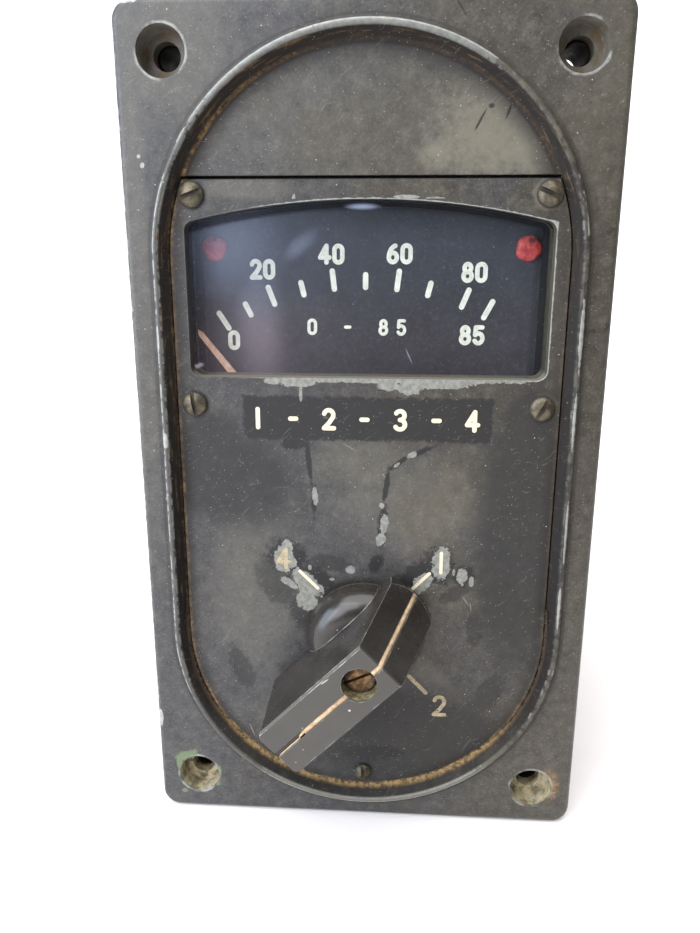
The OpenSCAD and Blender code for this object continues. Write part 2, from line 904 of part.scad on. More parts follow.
module connector_shell() upright() color(alloy) {
  flange_z = rear_face_z - connector_flange_t;
  shell_z = flange_z - connector_len;
  difference() {
    union() {
      translate([-connector_w / 2, connector_y - connector_w / 2, flange_z]) {
        cube([connector_w, connector_w, connector_flange_t]);
      }
      bar(connector_r - thread_depth, shell_z, case_end_z + shell_lap, [0, connector_y]);
      for (i = [0:thread_turns - 1]) {
        low = shell_z + thread_start + i * thread_pitch;
        bar(connector_r, low, low + thread_w, [0, connector_y]);
      }
    }
    bar(connector_bore, shell_z - cut, case_end_z + shell_lap + cut, [0, connector_y]);
    at_connector_screws() bar(connector_shank_r + screw_fit, flange_z - cut, rear_face_z + cut);
  }
}

module at_pins() {
  translate([0, connector_y, 0]) {
    for (i = [0:inner_pins - 1]) {
      rotate([0, 0, 360 * (i + 0.25) / inner_pins]) translate([inner_pin_ring, 0, 0]) children();
    }
    for (i = [0:outer_pins - 1]) {
      rotate([0, 0, 360 * i / outer_pins]) translate([outer_pin_ring, 0, 0]) children();
    }
  }
}

module connector_insert() upright() color(phenolic) {
  difference() {
    bar(connector_bore - screw_fit, insert_face_z, insert_back_z, [0, connector_y]);
    at_pins() bar(pin_r, insert_face_z - cut, insert_face_z + pin_grip);
    translate([-key_w / 2, connector_y + connector_bore - key_in, insert_face_z - cut]) {
      cube([key_w, 2 * key_in, key_len]);
    }
  }
}

module connector_pins() upright() color(brass) {
  at_pins() {
    bar(pin_r, insert_face_z - pin_len + pin_r, insert_face_z + pin_grip);
    translate([0, 0, insert_face_z - pin_len + pin_r]) sphere(pin_r);
  }
}

module connector_screws() upright() color(steel) {
  turn = 20;
  shank_len = connector_flange_t + rear_t + connector_grip;
  at_connector_screws() translate([0, 0, rear_face_z - connector_flange_t]) rotate([180, 0, 0]) {
    round_screw(connector_head_r, connector_head_h, connector_shank_r, shank_len, turn);
  }
}

// Movement

module at_movement_screws() {
  on_pivot() for (i = [0:2]) rotate([0, 0, 120 * i + 60]) translate([movement_screw_r, 0, 0]) children();
}

module stop_place(side) {
  spread = asin((pointer_root_w / 2 + stop_pin_r + seat_fit) / stop_ring_r);
  angle = side < 0 ? pointer_rest + spread : pointer_rest - pointer_sweep - spread;
  on_pivot() rotate([0, 0, angle]) translate([0, stop_ring_r, 0]) children();
}

module movement_front_plate() upright() color(brass) {
  difference() {
    on_pivot() union() {
      bar(cup_r, movement_z, behind_front_z);
      bar(boss_r, movement_z - boss_h, behind_front_z);
    }
    on_pivot() bar(staff_r + staff_fit, movement_z - boss_h - cut, behind_front_z + cut);
    at_movement_screws() bar(movement_shank_r, movement_z - cut, behind_front_z + cut);
  }
}

module movement_cup() upright() color(steel) {
  on_pivot() difference() {
    bar(cup_r, cup_end_z - cup_end_t, movement_z);
    bar(cup_r - cup_wall, cup_end_z, movement_z + cut);
    bar(jewel_r, cup_end_z - cup_end_t - cut, cup_end_z + cut);
  }
}

module stator_core() upright() color(steel) {
  half = coil_len / 2 - coil_wall;
  on_pivot() tube(core_r, core_in_r, magnet_mid_z - half, magnet_mid_z + half);
}

module stator_coils() upright() color(copper) {
  low = magnet_mid_z - coil_len / 2;
  on_pivot() for (i = [0:2]) {
    rotate([0, 0, 120 * i + coil_gap_angle / 2]) {
      translate([0, 0, low]) rotate_extrude(angle = 120 - coil_gap_angle) difference() {
        translate([coil_in_r, 0]) square([coil_r - coil_in_r, coil_len]);
        translate([core_in_r, coil_wall]) square([core_r - core_in_r, coil_len - 2 * coil_wall]);
      }
    }
  }
}

module jewel_screw() upright() color(brass) {
  head_z = cup_end_z - cup_end_t - jewel_head_t;
  on_pivot() difference() {
    union() {
      bar(jewel_r, cup_end_z - cup_end_t, jewel_z);
      bar(jewel_head_r, head_z, cup_end_z - cup_end_t);
    }
    bar(staff_r + staff_fit, staff_end_z - 0.1, jewel_z + cut);
    translate([-jewel_head_r - cut, -jewel_slot_w / 2, head_z - cut]) {
      cube([2 * (jewel_head_r + cut), jewel_slot_w, cut + jewel_slot_depth]);
    }
  }
}

module movement_screws() upright() color(steel) {
  turn = 40;
  spare = 0.8;
  shank_len = chassis_t + movement_plate_t + spare;
  at_movement_screws() translate([0, 0, front_plate_z]) {
    cheese_screw(movement_head_r, movement_head_h, movement_shank_r, shank_len, turn);
  }
}

module pointer_stops() upright() color(brass) {
  for (side = [-1, 1]) stop_place(side) bar(stop_pin_r, behind_front_z, hub_top_z);
}

// Selector's fixed pieces

module at_ties() {
  on_selector() for (side = [-1, 1]) translate([side * tie_x, 0, 0]) children();
}

module shaft_bush() upright() color(brass) {
  on_selector() difference() {
    union() {
      bar(bush_r, seat_z, bush_end_z);
      bar(bush_flange_r, seat_z - bush_flange_t, seat_z);
    }
    bar(shaft_r + shaft_fit, seat_z - bush_flange_t - cut, bush_end_z + cut);
  }
}

module bush_nut() upright() color(steel) {
  on_selector() difference() {
    translate([0, 0, plate_z]) cylinder(r = nut_r, h = nut_t, $fn = 6);
    bar(bush_r, plate_z - cut, plate_z + nut_t + cut);
  }
}

module ear_outline(r) {
  circle(r);
  translate([-tie_x, -ear_r]) square([2 * tie_x, 2 * ear_r]);
  for (side = [-1, 1]) translate([side * tie_x, 0]) circle(ear_r);
}

module detent_plate() upright() color(alloy) {
  on_selector() {
    difference() {
      translate([0, 0, detent_plate_z - detent_plate_t]) linear_extrude(detent_plate_t) {
        ear_outline(wafer_r);
      }
      bar(shaft_hole_r, detent_plate_z - detent_plate_t - cut, detent_plate_z + cut);
      for (side = [-1, 1]) {
        bar(tie_r + screw_fit, detent_plate_z - detent_plate_t - cut, detent_plate_z + cut,
          [side * tie_x, 0]);
      }
      at_leaf_screws() bar(leaf_shank_r, detent_plate_z - detent_plate_t - cut, detent_plate_z + cut);
    }
    bar(stop_r, stop_z - stop_t - 0.2, detent_plate_z - detent_plate_t, [stop_radius, 0]);
  }
}

module at_leaf_screws() {
  for (y = leaf_screw_places) translate([-leaf_x - leaf_t - leaf_screw_in, y, 0]) children();
}

module detent_spring() upright() color(steel) {
  on_selector() {
    translate([-leaf_x, 0, wheel_z - wheel_t]) {
      rotate([0, 0, -90]) rotate_extrude(angle = 180) {
        translate([nose_r - leaf_t, 0]) square([leaf_t, wheel_t]);
      }
      translate([-leaf_t, nose_r - leaf_t, 0]) cube([leaf_t + join, leaf_tip, wheel_t]);
      translate([-leaf_t, -leaf_tail, 0]) cube([leaf_t + join, leaf_tail + leaf_t - nose_r, wheel_t]);
    }
    difference() {
      translate([-leaf_x - leaf_t - leaf_foot[0], -leaf_tail, wheel_z - leaf_foot[2]]) cube(leaf_foot);
      at_leaf_screws() bar(leaf_shank_r, wheel_z - leaf_foot[2] - cut, wheel_z + cut);
    }
  }
}

module detent_spring_screws() upright() color(steel) {
  turn = 15;
  shank_len = detent_plate_z - wheel_z + leaf_foot[2];
  on_selector() at_leaf_screws() {
    tube(leaf_tube_r, leaf_shank_r, wheel_z, detent_plate_z - detent_plate_t);
    translate([0, 0, wheel_z - leaf_foot[2]]) rotate([180, 0, 0]) {
      cheese_screw(leaf_head_r, leaf_head_h, leaf_shank_r, shank_len, turn);
    }
  }
}

module switch_spacers() upright() color(alloy) {
  at_ties() {
    tube(spacer_r, tie_r + screw_fit, detent_plate_z, behind_front_z);
    tube(spacer_r, tie_r + screw_fit, -wafer_front, detent_plate_z - detent_plate_t);
    for (i = [1:1:wafer_count - 1]) {
      low = -wafer_front - i * wafer_pitch;
      tube(spacer_r, tie_r + screw_fit, low, low + wafer_pitch - wafer_t);
    }
  }
}

module at_wafers() {
  for (i = [0:1:wafer_count - 1]) translate([0, 0, -wafer_front - i * wafer_pitch]) children();
}

module switch_wafers() upright() color(phenolic) {
  on_selector() at_wafers() translate([0, 0, -wafer_t]) linear_extrude(wafer_t) difference() {
    ear_outline(wafer_r);
    circle(rotor_r + seat_fit);
    for (side = [-1, 1]) translate([side * tie_x, 0]) circle(tie_r + screw_fit);
  }
}

module switch_contacts() upright() color(brass) {
  reach = rotor_r - clip_in;
  lift = blade_t + brush_gap;
  rivet = rotor_r + clip_foot_in;
  on_selector() at_wafers() for (i = [0:clip_count - 1]) {
    rotate([0, 0, 360 * (i + 0.5) / clip_count]) {
      translate([reach, -clip_w / 2, lift]) cube([wafer_r + clip_out - reach, clip_w, clip_strip_t]);
      translate([rivet, -clip_w / 2, 0]) cube([clip_foot_in, clip_w, lift]);
    }
  }
}

module tie_rods() upright() color(steel) {
  at_ties() {
    bar(tie_r, tie_end_z - tie_spare, front_plate_z);
    bar(tie_head_r, front_plate_z, front_plate_z + tie_head_t);
  }
}

module tie_rod_nuts() upright() color(steel) {
  at_ties() difference() {
    translate([0, 0, tie_end_z - tie_nut_t]) cylinder(r = tie_nut_r, h = tie_nut_t, $fn = 6);
    bar(tie_r, tie_end_z - tie_nut_t - cut, tie_end_z + cut);
  }
}

// Calibration board

module calibration_board() upright() color(phenolic) {
  difference() {
    translate([-board_w / 2, board_y - board_h / 2, board_z - board_t]) cube([board_w, board_h, board_t]);
    for (side = [-1, 1]) {
      bar(board_stud_r + screw_fit, board_z - board_t - cut, board_z + cut,
        [side * board_screw_x, board_y]);
    }
  }
}

module board_spacers() upright() color(alloy) {
  for (side = [-1, 1]) {
    translate([side * board_screw_x, board_y, 0]) {
      bar(spacer_r, board_z, behind_front_z);
      bar(board_stud_r, board_z - board_t, board_z);
      bar(board_stud_r, behind_front_z, front_plate_z);
      bar(board_head_r, board_z - board_t - board_head_t - board_washer_t, board_z - board_t);
    }
  }
}

module at_spools() {
  for (i = [0:spool_count - 1]) {
    x = (i - (spool_count - 1) / 2) * spool_pitch;
    y = board_y + spool_stagger * (i % 2 == 0 ? 1 : -1);
    translate([x, y, board_z - board_t]) children();
  }
}

module resistor_spools() upright() color(phenolic) {
  at_spools() {
    bar(spool_r, -spool_end_t, 0);
    bar(spool_core_r, -spool_len, 0);
    bar(spool_r, -spool_len, spool_end_t - spool_len);
  }
}

module resistor_windings() upright() color(copper) {
  at_spools() tube(winding_r, spool_core_r, spool_end_t - spool_len, -spool_end_t);
}

module terminal_tags() upright() color(brass) {
  y = board_y - board_h / 2 - tag_out;
  for (i = [0:tag_count - 1]) {
    x = (i - (tag_count - 1) / 2) * tag_pitch;
    translate([x - tag[0] / 2, y, board_z - board_t - tag[2]]) cube(tag);
  }
}

function unit(v) = v / norm(v);

// Rounds each inner corner of a path, starting d before the corner
function rounded(p, d) = concat([p[0]],
  [for (i = [1:len(p) - 2]) for (t = [0, 1/3, 2/3, 1])
    (1 - t) * (1 - t) * (p[i] + d * unit(p[i - 1] - p[i])) + 2 * t * (1 - t) * p[i]
      + t * t * (p[i] + d * unit(p[i + 1] - p[i]))],
  [p[len(p) - 1]]);

// Wire of radius r swept along a path
module wire(path, r) {
  sides = 8;
  last = len(path) - 1;
  across = [0.9, 0.35, 0.26];
  points = [for (i = [0:last])
    let (t = unit(path[min(i + 1, last)] - path[max(i - 1, 0)]))
    let (a = unit(cross(t, across)), b = cross(t, a))
    for (k = [0:sides - 1]) path[i] + r * (cos(360 * k / sides) * a + sin(360 * k / sides) * b)];
  faces = concat(
    [[for (k = [0:sides - 1]) k]],
    [[for (k = [sides - 1:-1:0]) last * sides + k]],
    [for (i = [0:last - 1]) for (k = [0:sides - 1])
      [i * sides + k, (i + 1) * sides + k, (i + 1) * sides + (k + 1) % sides]],
    [for (i = [0:last - 1]) for (k = [0:sides - 1])
      [i * sides + k, (i + 1) * sides + (k + 1) % sides, i * sides + (k + 1) % sides]]);
  polyhedron(points, faces);
}

module wiring_loom() upright() color([0.5, 0.33, 0.16]) {
  bend = 2.5;
  branch_bend = 1.2;
  branches = 5;
  branch_ring = 1.7;
  branch_rise = 4;
  branch_end = 5;
  clip_lead = 7;
  fork_z = -60;
  trunk_end = [0, connector_y + 3, -46];
  root_z = trunk_end[2] + 0.6;
  tag_y = board_y - board_h / 2 - tag_out + 1;
  tag_back_z = board_z - board_t - tag[2];
  clip_z = -wafer_front + blade_t + brush_gap + clip_strip_t / 2;
  clip_angle = 90 - 180 / clip_count;
  clip_tip = wafer_r + clip_out + 0.05;
  wire(rounded([[0, connector_y, insert_back_z], [0, connector_y, fork_z], trunk_end], bend), loom_r);
  for (i = [0:branches - 1]) {
    step = i - (branches - 1) / 2;
    turn = 360 * step / branches;
    root = [branch_ring * sin(turn), trunk_end[1] + branch_ring * cos(turn), root_z];
    end = [step * tag_pitch, tag_y, tag_back_z];
    wire(rounded([root, root + [0, 0, branch_rise], end - [0, 0, branch_end], end], branch_bend),
      branch_r);
  }
  for (side = [-1, 1]) {
    radial = [side * cos(clip_angle), sin(clip_angle), 0];
    start = [side * side_wire_x, connector_y, insert_back_z];
    fork = [side * side_wire_x, connector_y, fork_z];
    tip = [0, selector_y, clip_z] + clip_tip * radial;
    wire(rounded([start, fork, tip + clip_lead * radial, tip], bend), branch_r);
  }
}

module loom_grommet() upright() color(rubber_black) {
  low = behind_rear_z - grommet_lip_t;
  high = rear_plate_z + grommet_lip_t;
  difference() {
    union() {
      bar(grommet_r - grommet_lip, low, high, [0, connector_y]);
      bar(grommet_r, low, behind_rear_z, [0, connector_y]);
      bar(grommet_r, rear_plate_z, high, [0, connector_y]);
    }
    bar(loom_r + seat_fit, low - cut, high + cut, [0, connector_y]);
    for (side = [-1, 1]) {
      bar(branch_r + screw_fit, low - cut, high + cut, [side * side_wire_x, connector_y]);
    }
  }
}

// Pointer's turning pieces

module pointer_arm() upright() color(copper) {
  root = pointer_root_w / 2;
  tip = pointer_tip_w / 2;
  shoulder = pointer_len - arm_tip_len;
  on_pivot() rotate([0, 0, pointer_rest]) translate([0, 0, pointer_z - pointer_t]) {
    linear_extrude(pointer_t) difference() {
      union() {
        polygon([[-root, 0], [root, 0], [tip, shoulder], [0, pointer_len], [-tip, shoulder]]);
        circle(arm_ring_r);
        translate([-tail_w / 2, -tail_len]) square([tail_w, tail_len]);
      }
      circle(spigot_r);
    }
  }
}

module pointer_hub() upright() color(brass) {
  on_pivot() difference() {
    union() {
      bar(spigot_r, pointer_z - pointer_t, hub_top_z);
      bar(hub_r, hub_low_z, pointer_z - pointer_t);
    }
    bar(staff_r, hub_low_z - cut, hub_top_z + cut);
  }
}

module pointer_staff() upright() color(steel) {
  on_pivot() bar(staff_r, staff_end_z, hub_top_z);
}

module rotor_magnet() upright() color([0.35, 0.36, 0.38]) {
  on_pivot() tube(magnet_r, staff_r, magnet_mid_z - magnet_len / 2, magnet_mid_z + magnet_len / 2);
}

module balance_weight() upright() color(brass) {
  on_pivot() rotate([0, 0, pointer_rest]) {
    bar(weight_r, pointer_z - pointer_t - weight_t, pointer_z - pointer_t, [0, weight_r - tail_len]);
  }
}

// Selector's turning pieces, drawn pointing along +x and turned to the rest position

module at_knob() {
  on_selector() translate([0, 0, plate_z]) rotate([0, 0, knob_angle]) children();
}

module knob_bar() {
  reach = knob_tail + knob_nose;
  intersection() {
    rotate([90, 0, 0]) translate([0, 0, -knob_w]) linear_extrude(2 * knob_w) {
      polygon([[-knob_tail, knob_gap], [knob_nose, knob_gap], [knob_nose, nose_h],
        [knob_ridge, knob_h], [-knob_tail, knob_h]]);
    }
    translate([-knob_tail, 0, 0]) rotate([90, 0, 90]) linear_extrude(reach) {
      polygon([[-bar_foot_w, knob_gap], [bar_foot_w, knob_gap], [bar_top_w, knob_h - bar_bevel],
        [bar_top_w - bar_bevel, knob_h], [bar_bevel - bar_top_w, knob_h],
        [-bar_top_w, knob_h - bar_bevel]]);
    }
    linear_extrude(knob_h) {
      circle(knob_nose);
      translate([-knob_tail, -knob_nose]) square([knob_tail, 2 * knob_nose]);
    }
    tail_corner();
    mirror([0, 1, 0]) tail_corner();
  }
}

// All of the bar but what lies outside its rounded tail corner on the +y side
module tail_corner() {
  reach = knob_tail + knob_nose;
  translate([-knob_tail, bar_foot_w, knob_gap]) rotate([bar_lean, 0, 0]) {
    translate([0, 0, -cut]) linear_extrude(knob_h + 2 * cut) {
      translate([0, -2 * knob_w]) square([reach, 2 * knob_w - tail_corner_r]);
      translate([tail_corner_r, -2 * knob_w]) square([reach - tail_corner_r, 2 * knob_w + cut]);
      translate([tail_corner_r, tail_corner_fit - tail_corner_r]) circle(tail_corner_r);
    }
  }
}

module knob_skirt() {
  steps = 6;
  shoulder = [for (i = [0:steps]) [skirt_top_r + (skirt_r - skirt_top_r) * cos(90 - 90 * i / steps),
    skirt_edge_h + (skirt_top_h - skirt_edge_h) * sin(90 - 90 * i / steps)]];
  rotate_extrude() {
    polygon(concat([[0, skirt_gap], [0, skirt_top_h]], shoulder, [[skirt_r, skirt_gap]]));
  }
}

module knob() upright() color(bakelite) {
  slope = [knob_nose - knob_ridge, nose_h - knob_h];
  slope_len = norm(slope);
  slope_angle = atan2(-slope[1], slope[0]);
  at_knob() difference() {
    union() {
      knob_bar();
      knob_skirt();
    }
    bar(skirt_hollow_r, -cut, skirt_hollow_h);
    bar(insert_r, skirt_hollow_h - cut, shaft_top);
    bar(knob_screw_r + 0.2, shaft_top - cut, knob_h);
    bar(knob_recess_d / 2, recess_floor, knob_h + cut);
    translate([-knob_tail - cut, -index_w / 2, knob_h - groove_depth]) {
      cube([knob_tail + knob_ridge + cut, index_w, groove_depth + cut]);
    }
    translate([knob_ridge, 0, knob_h]) rotate([0, slope_angle, 0]) {
      translate([-groove_depth, -index_w / 2, -groove_depth]) {
        cube([slope_len + 2 * groove_depth, index_w, groove_depth + cut]);
      }
    }
  }
}

module knob_insert() upright() color(brass) {
  at_knob() tube(insert_r, shaft_r, skirt_hollow_h - insert_stand, shaft_top);
}

module knob_screw() upright() color(brass) {
  turn = -20;
  shank_len = recess_floor - shaft_top + knob_screw_grip;
  at_knob() translate([0, 0, recess_floor]) {
    cheese_screw(knob_recess_d / 2 - air, knob_screw_head_t, knob_screw_r, shank_len, turn, knob_screw_slot);
  }
}

module selector_shaft() upright() color(steel) {
  on_selector() difference() {
    bar(shaft_r, shaft_end_z, plate_z + shaft_top);
    bar(knob_screw_r, plate_z + shaft_top - knob_screw_grip - tap_spare, plate_z + shaft_top + cut);
    tube(shaft_r + cut, shaft_r - clip_groove, clip_z - clip_t, clip_z);
  }
}

module shaft_clip() upright() color(steel) {
  on_selector() tube(clip_r, shaft_r - clip_groove, clip_z - clip_t, clip_z);
}

module detent_wheel() upright() color(brass) {
  centre = -(360 - selector_sweep) / 2;
  on_selector() {
    difference() {
      union() {
        bar(detent_r, wheel_z - wheel_t, wheel_z);
        bar(stop_hub_r, stop_z - stop_t, wheel_z - wheel_t);
      }
      bar(shaft_r, stop_z - stop_t - cut, wheel_z + cut);
      for (i = [0:3]) {
        rotate([0, 0, 90 * i]) bar(nose_r + 0.1, wheel_z - wheel_t - cut, wheel_z + cut, [-leaf_x, 0]);
      }
    }
    translate([0, 0, stop_z - stop_t]) rotate([0, 0, centre - stop_half]) {
      rotate_extrude(angle = 2 * stop_half) translate([stop_hub_r - stop_root, 0]) {
        square([stop_radius + stop_rim - stop_hub_r + stop_root, stop_t]);
      }
    }
  }
}

module switch_rotors() upright() color([0.62, 0.5, 0.3]) {
  hub_len = 4;
  rotor_hub_r = 4.6;
  blade_in_r = 6;
  blade_out_r = rotor_r - air;
  blade_gap = 60;
  on_selector() at_wafers() {
    difference() {
      union() {
        bar(rotor_r, seat_fit - wafer_t, 0);
        bar(rotor_hub_r, 0, hub_len);
      }
      bar(shaft_r, -wafer_t - cut, hub_len + cut);
    }
    rotate([0, 0, blade_gap / 2]) rotate_extrude(angle = 360 - blade_gap) {
      translate([blade_in_r, 0]) square([blade_out_r - blade_in_r, blade_t]);
    }
  }
}

front_frame();
mount_nuts();
cover_plate();
cover_screws();
window_glass();
glass_gasket();
glass_retainer();
dial_plate();
dial_mask();
dial_screws();
dial_posts();
front_posts();
front_chassis_plate();
chassis_pillars();
rear_chassis_plate();
rear_posts();
case_shell();
case_gasket();
rear_cover();
rear_cover_screws();
connector_shell();
connector_insert();
connector_pins();
connector_screws();
movement_front_plate();
movement_cup();
stator_core();
stator_coils();
jewel_screw();
movement_screws();
pointer_stops();
shaft_bush();
bush_nut();
detent_plate();
detent_spring();
detent_spring_screws();
switch_spacers();
switch_wafers();
switch_contacts();
tie_rods();
tie_rod_nuts();
calibration_board();
board_spacers();
resistor_spools();
resistor_windings();
terminal_tags();
wiring_loom();
loom_grommet();
pointer_arm();
pointer_hub();
pointer_staff();
rotor_magnet();
balance_weight();
knob();
knob_insert();
knob_screw();
selector_shaft();
shaft_clip();
detent_wheel();
switch_rotors();
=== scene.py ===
"""The looks of an aircraft oil quantity gauge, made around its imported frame.

Places on the gauge are given as on a drawing of its face: u to the right, v up and w out
towards the reader, in millimetres, with w = 0 on the back of the mounting flange.
"""
import json
import math

import bmesh
import bpy
from mathutils import Matrix, Vector

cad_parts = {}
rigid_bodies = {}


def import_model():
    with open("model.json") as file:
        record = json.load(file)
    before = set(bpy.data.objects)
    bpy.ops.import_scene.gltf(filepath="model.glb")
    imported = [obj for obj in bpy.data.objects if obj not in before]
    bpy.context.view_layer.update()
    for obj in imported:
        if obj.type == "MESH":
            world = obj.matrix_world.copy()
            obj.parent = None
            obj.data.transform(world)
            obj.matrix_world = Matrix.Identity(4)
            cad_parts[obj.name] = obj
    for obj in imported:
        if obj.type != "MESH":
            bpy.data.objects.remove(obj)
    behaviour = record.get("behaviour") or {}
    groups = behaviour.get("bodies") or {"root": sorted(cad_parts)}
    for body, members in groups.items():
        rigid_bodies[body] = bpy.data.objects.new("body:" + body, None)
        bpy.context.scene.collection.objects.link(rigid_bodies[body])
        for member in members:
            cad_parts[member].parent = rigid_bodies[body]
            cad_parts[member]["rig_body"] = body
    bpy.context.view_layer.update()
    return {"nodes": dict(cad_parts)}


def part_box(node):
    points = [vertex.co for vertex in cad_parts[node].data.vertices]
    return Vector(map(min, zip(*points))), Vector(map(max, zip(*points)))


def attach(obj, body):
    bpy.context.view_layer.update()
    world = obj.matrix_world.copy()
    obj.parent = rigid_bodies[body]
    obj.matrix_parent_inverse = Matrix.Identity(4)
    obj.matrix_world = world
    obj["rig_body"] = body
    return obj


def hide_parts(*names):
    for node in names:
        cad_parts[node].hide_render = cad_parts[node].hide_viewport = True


for start_object in list(bpy.data.objects):
    bpy.data.objects.remove(start_object)
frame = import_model()
nodes = frame["nodes"]

MM = 0.001
WELD = 0.00002  # corners of a CAD mesh closer than this are one, in metres

# The face, measured from the frame's own solids
flange_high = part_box("front_frame")[1]
flange_half_u = flange_high.x / MM
flange_half_v = flange_high.z / MM
dial_face = -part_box("dial_plate")[0].y / MM

flange_front = 6.4
plate_front = 5.1
rim_span = 69.0
rim_radius = 35.8
rim_top = 7.8
split_v = 47.8
hole_u = 33.35
hole_v = 66.7
hole_sink = 4.05  # radius of the sunk part of a mounting hole
top_screw = (29.8, 45.1)
side_screw = (30.8, 9.5)
title_centre = (0.1, 7.15)
title_half = (21.2, 2.9)

# The window in the cover plate
window_half_u = 31.3
window_low_v = 14.4
arch_top_v = 44.4
arch_radius = 130.0
window_corner = 1.8

# The dial
dial_pivot = (-0.7, -17.0)
tick_inner = 46.3
tick_major = 50.5
tick_minor = 49.5
tick_width = 1.0
figure_height = 3.7
figure_stroke = 0.82
figure_pitch = 2.45

# The selector and its knob
knob_axis = (0.0, -34.6)
knob_turn = 45.0
knob_top = plate_front + 19.3
knob_tail = -20.1
knob_ridge = 4.9
knob_nose = 13.5
knob_tip = plate_front + 3.1
skirt_radius = 12.2
recess_radius = 3.1
line_width = 0.92
line_sink = 0.16
line_thickness = 0.12
selector_ticks = (12.6, 17.4)  # where a mark starts and ends, from the knob's axis

# How far a thin piece stands off the face under it
dial_lift = 0.05
plate_lift = 0.03
flake_lift = 0.012
stroke_root = 0.05  # how far a stroke's walls go down into that face


def place(u, v, w):
    """A place on the face drawing as a point of the frame."""
    return Vector((u, -w, v)) * MM


def spoke(centre, angle, reach):
    """The point at that distance from a centre, its angle in degrees from u towards v."""
    turn = math.radians(angle)
    return centre[0] + reach * math.cos(turn), centre[1] + reach * math.sin(turn)


def tone(red, green, blue):
    """A colour as seen, 0 to 255, as the shader's own light values."""
    def light(part):
        part /= 255
        return part / 12.92 if part < 0.04045 else ((part + 0.055) / 1.055) ** 2.4
    return (light(red), light(green), light(blue), 1.0)


class Value:
    """A node's socket in an expression: each operator on it adds its own Math node."""

    def __init__(self, finish, made, output=0):
        self.finish = finish
        self.made = made
        self.socket = made.outputs[output]

    def out(self, output):
        return Value(self.finish, self.made, output)

    def maths(self, operation, *terms):
        return self.finish.node("Math", {"operation": operation}, dict(enumerate(terms)))

    def __add__(self, other):
        return self.maths("ADD", self, other)

    def __sub__(self, other):
        return self.maths("SUBTRACT", self, other)

    def __rsub__(self, other):
        return self.maths("SUBTRACT", other, self)

    def __mul__(self, other):
        return self.maths("MULTIPLY", self, other)

    def __pow__(self, other):
        return self.maths("POWER", self, other)

    def __abs__(self):
        return self.maths("ABSOLUTE", self)

    __radd__ = __add__
    __rmul__ = __mul__

    def high(self, other):
        return self.maths("MAXIMUM", self, other)

    def low(self, other):
        return self.maths("MINIMUM", self, other)

    def rise(self, start, end):
        """0 at start and before, 1 at end and after, and smooth between them."""
        return self.finish.node("MapRange", {"interpolation_type": "SMOOTHSTEP", "clamp": True},
                                {0: self, 1: start, 2: end})


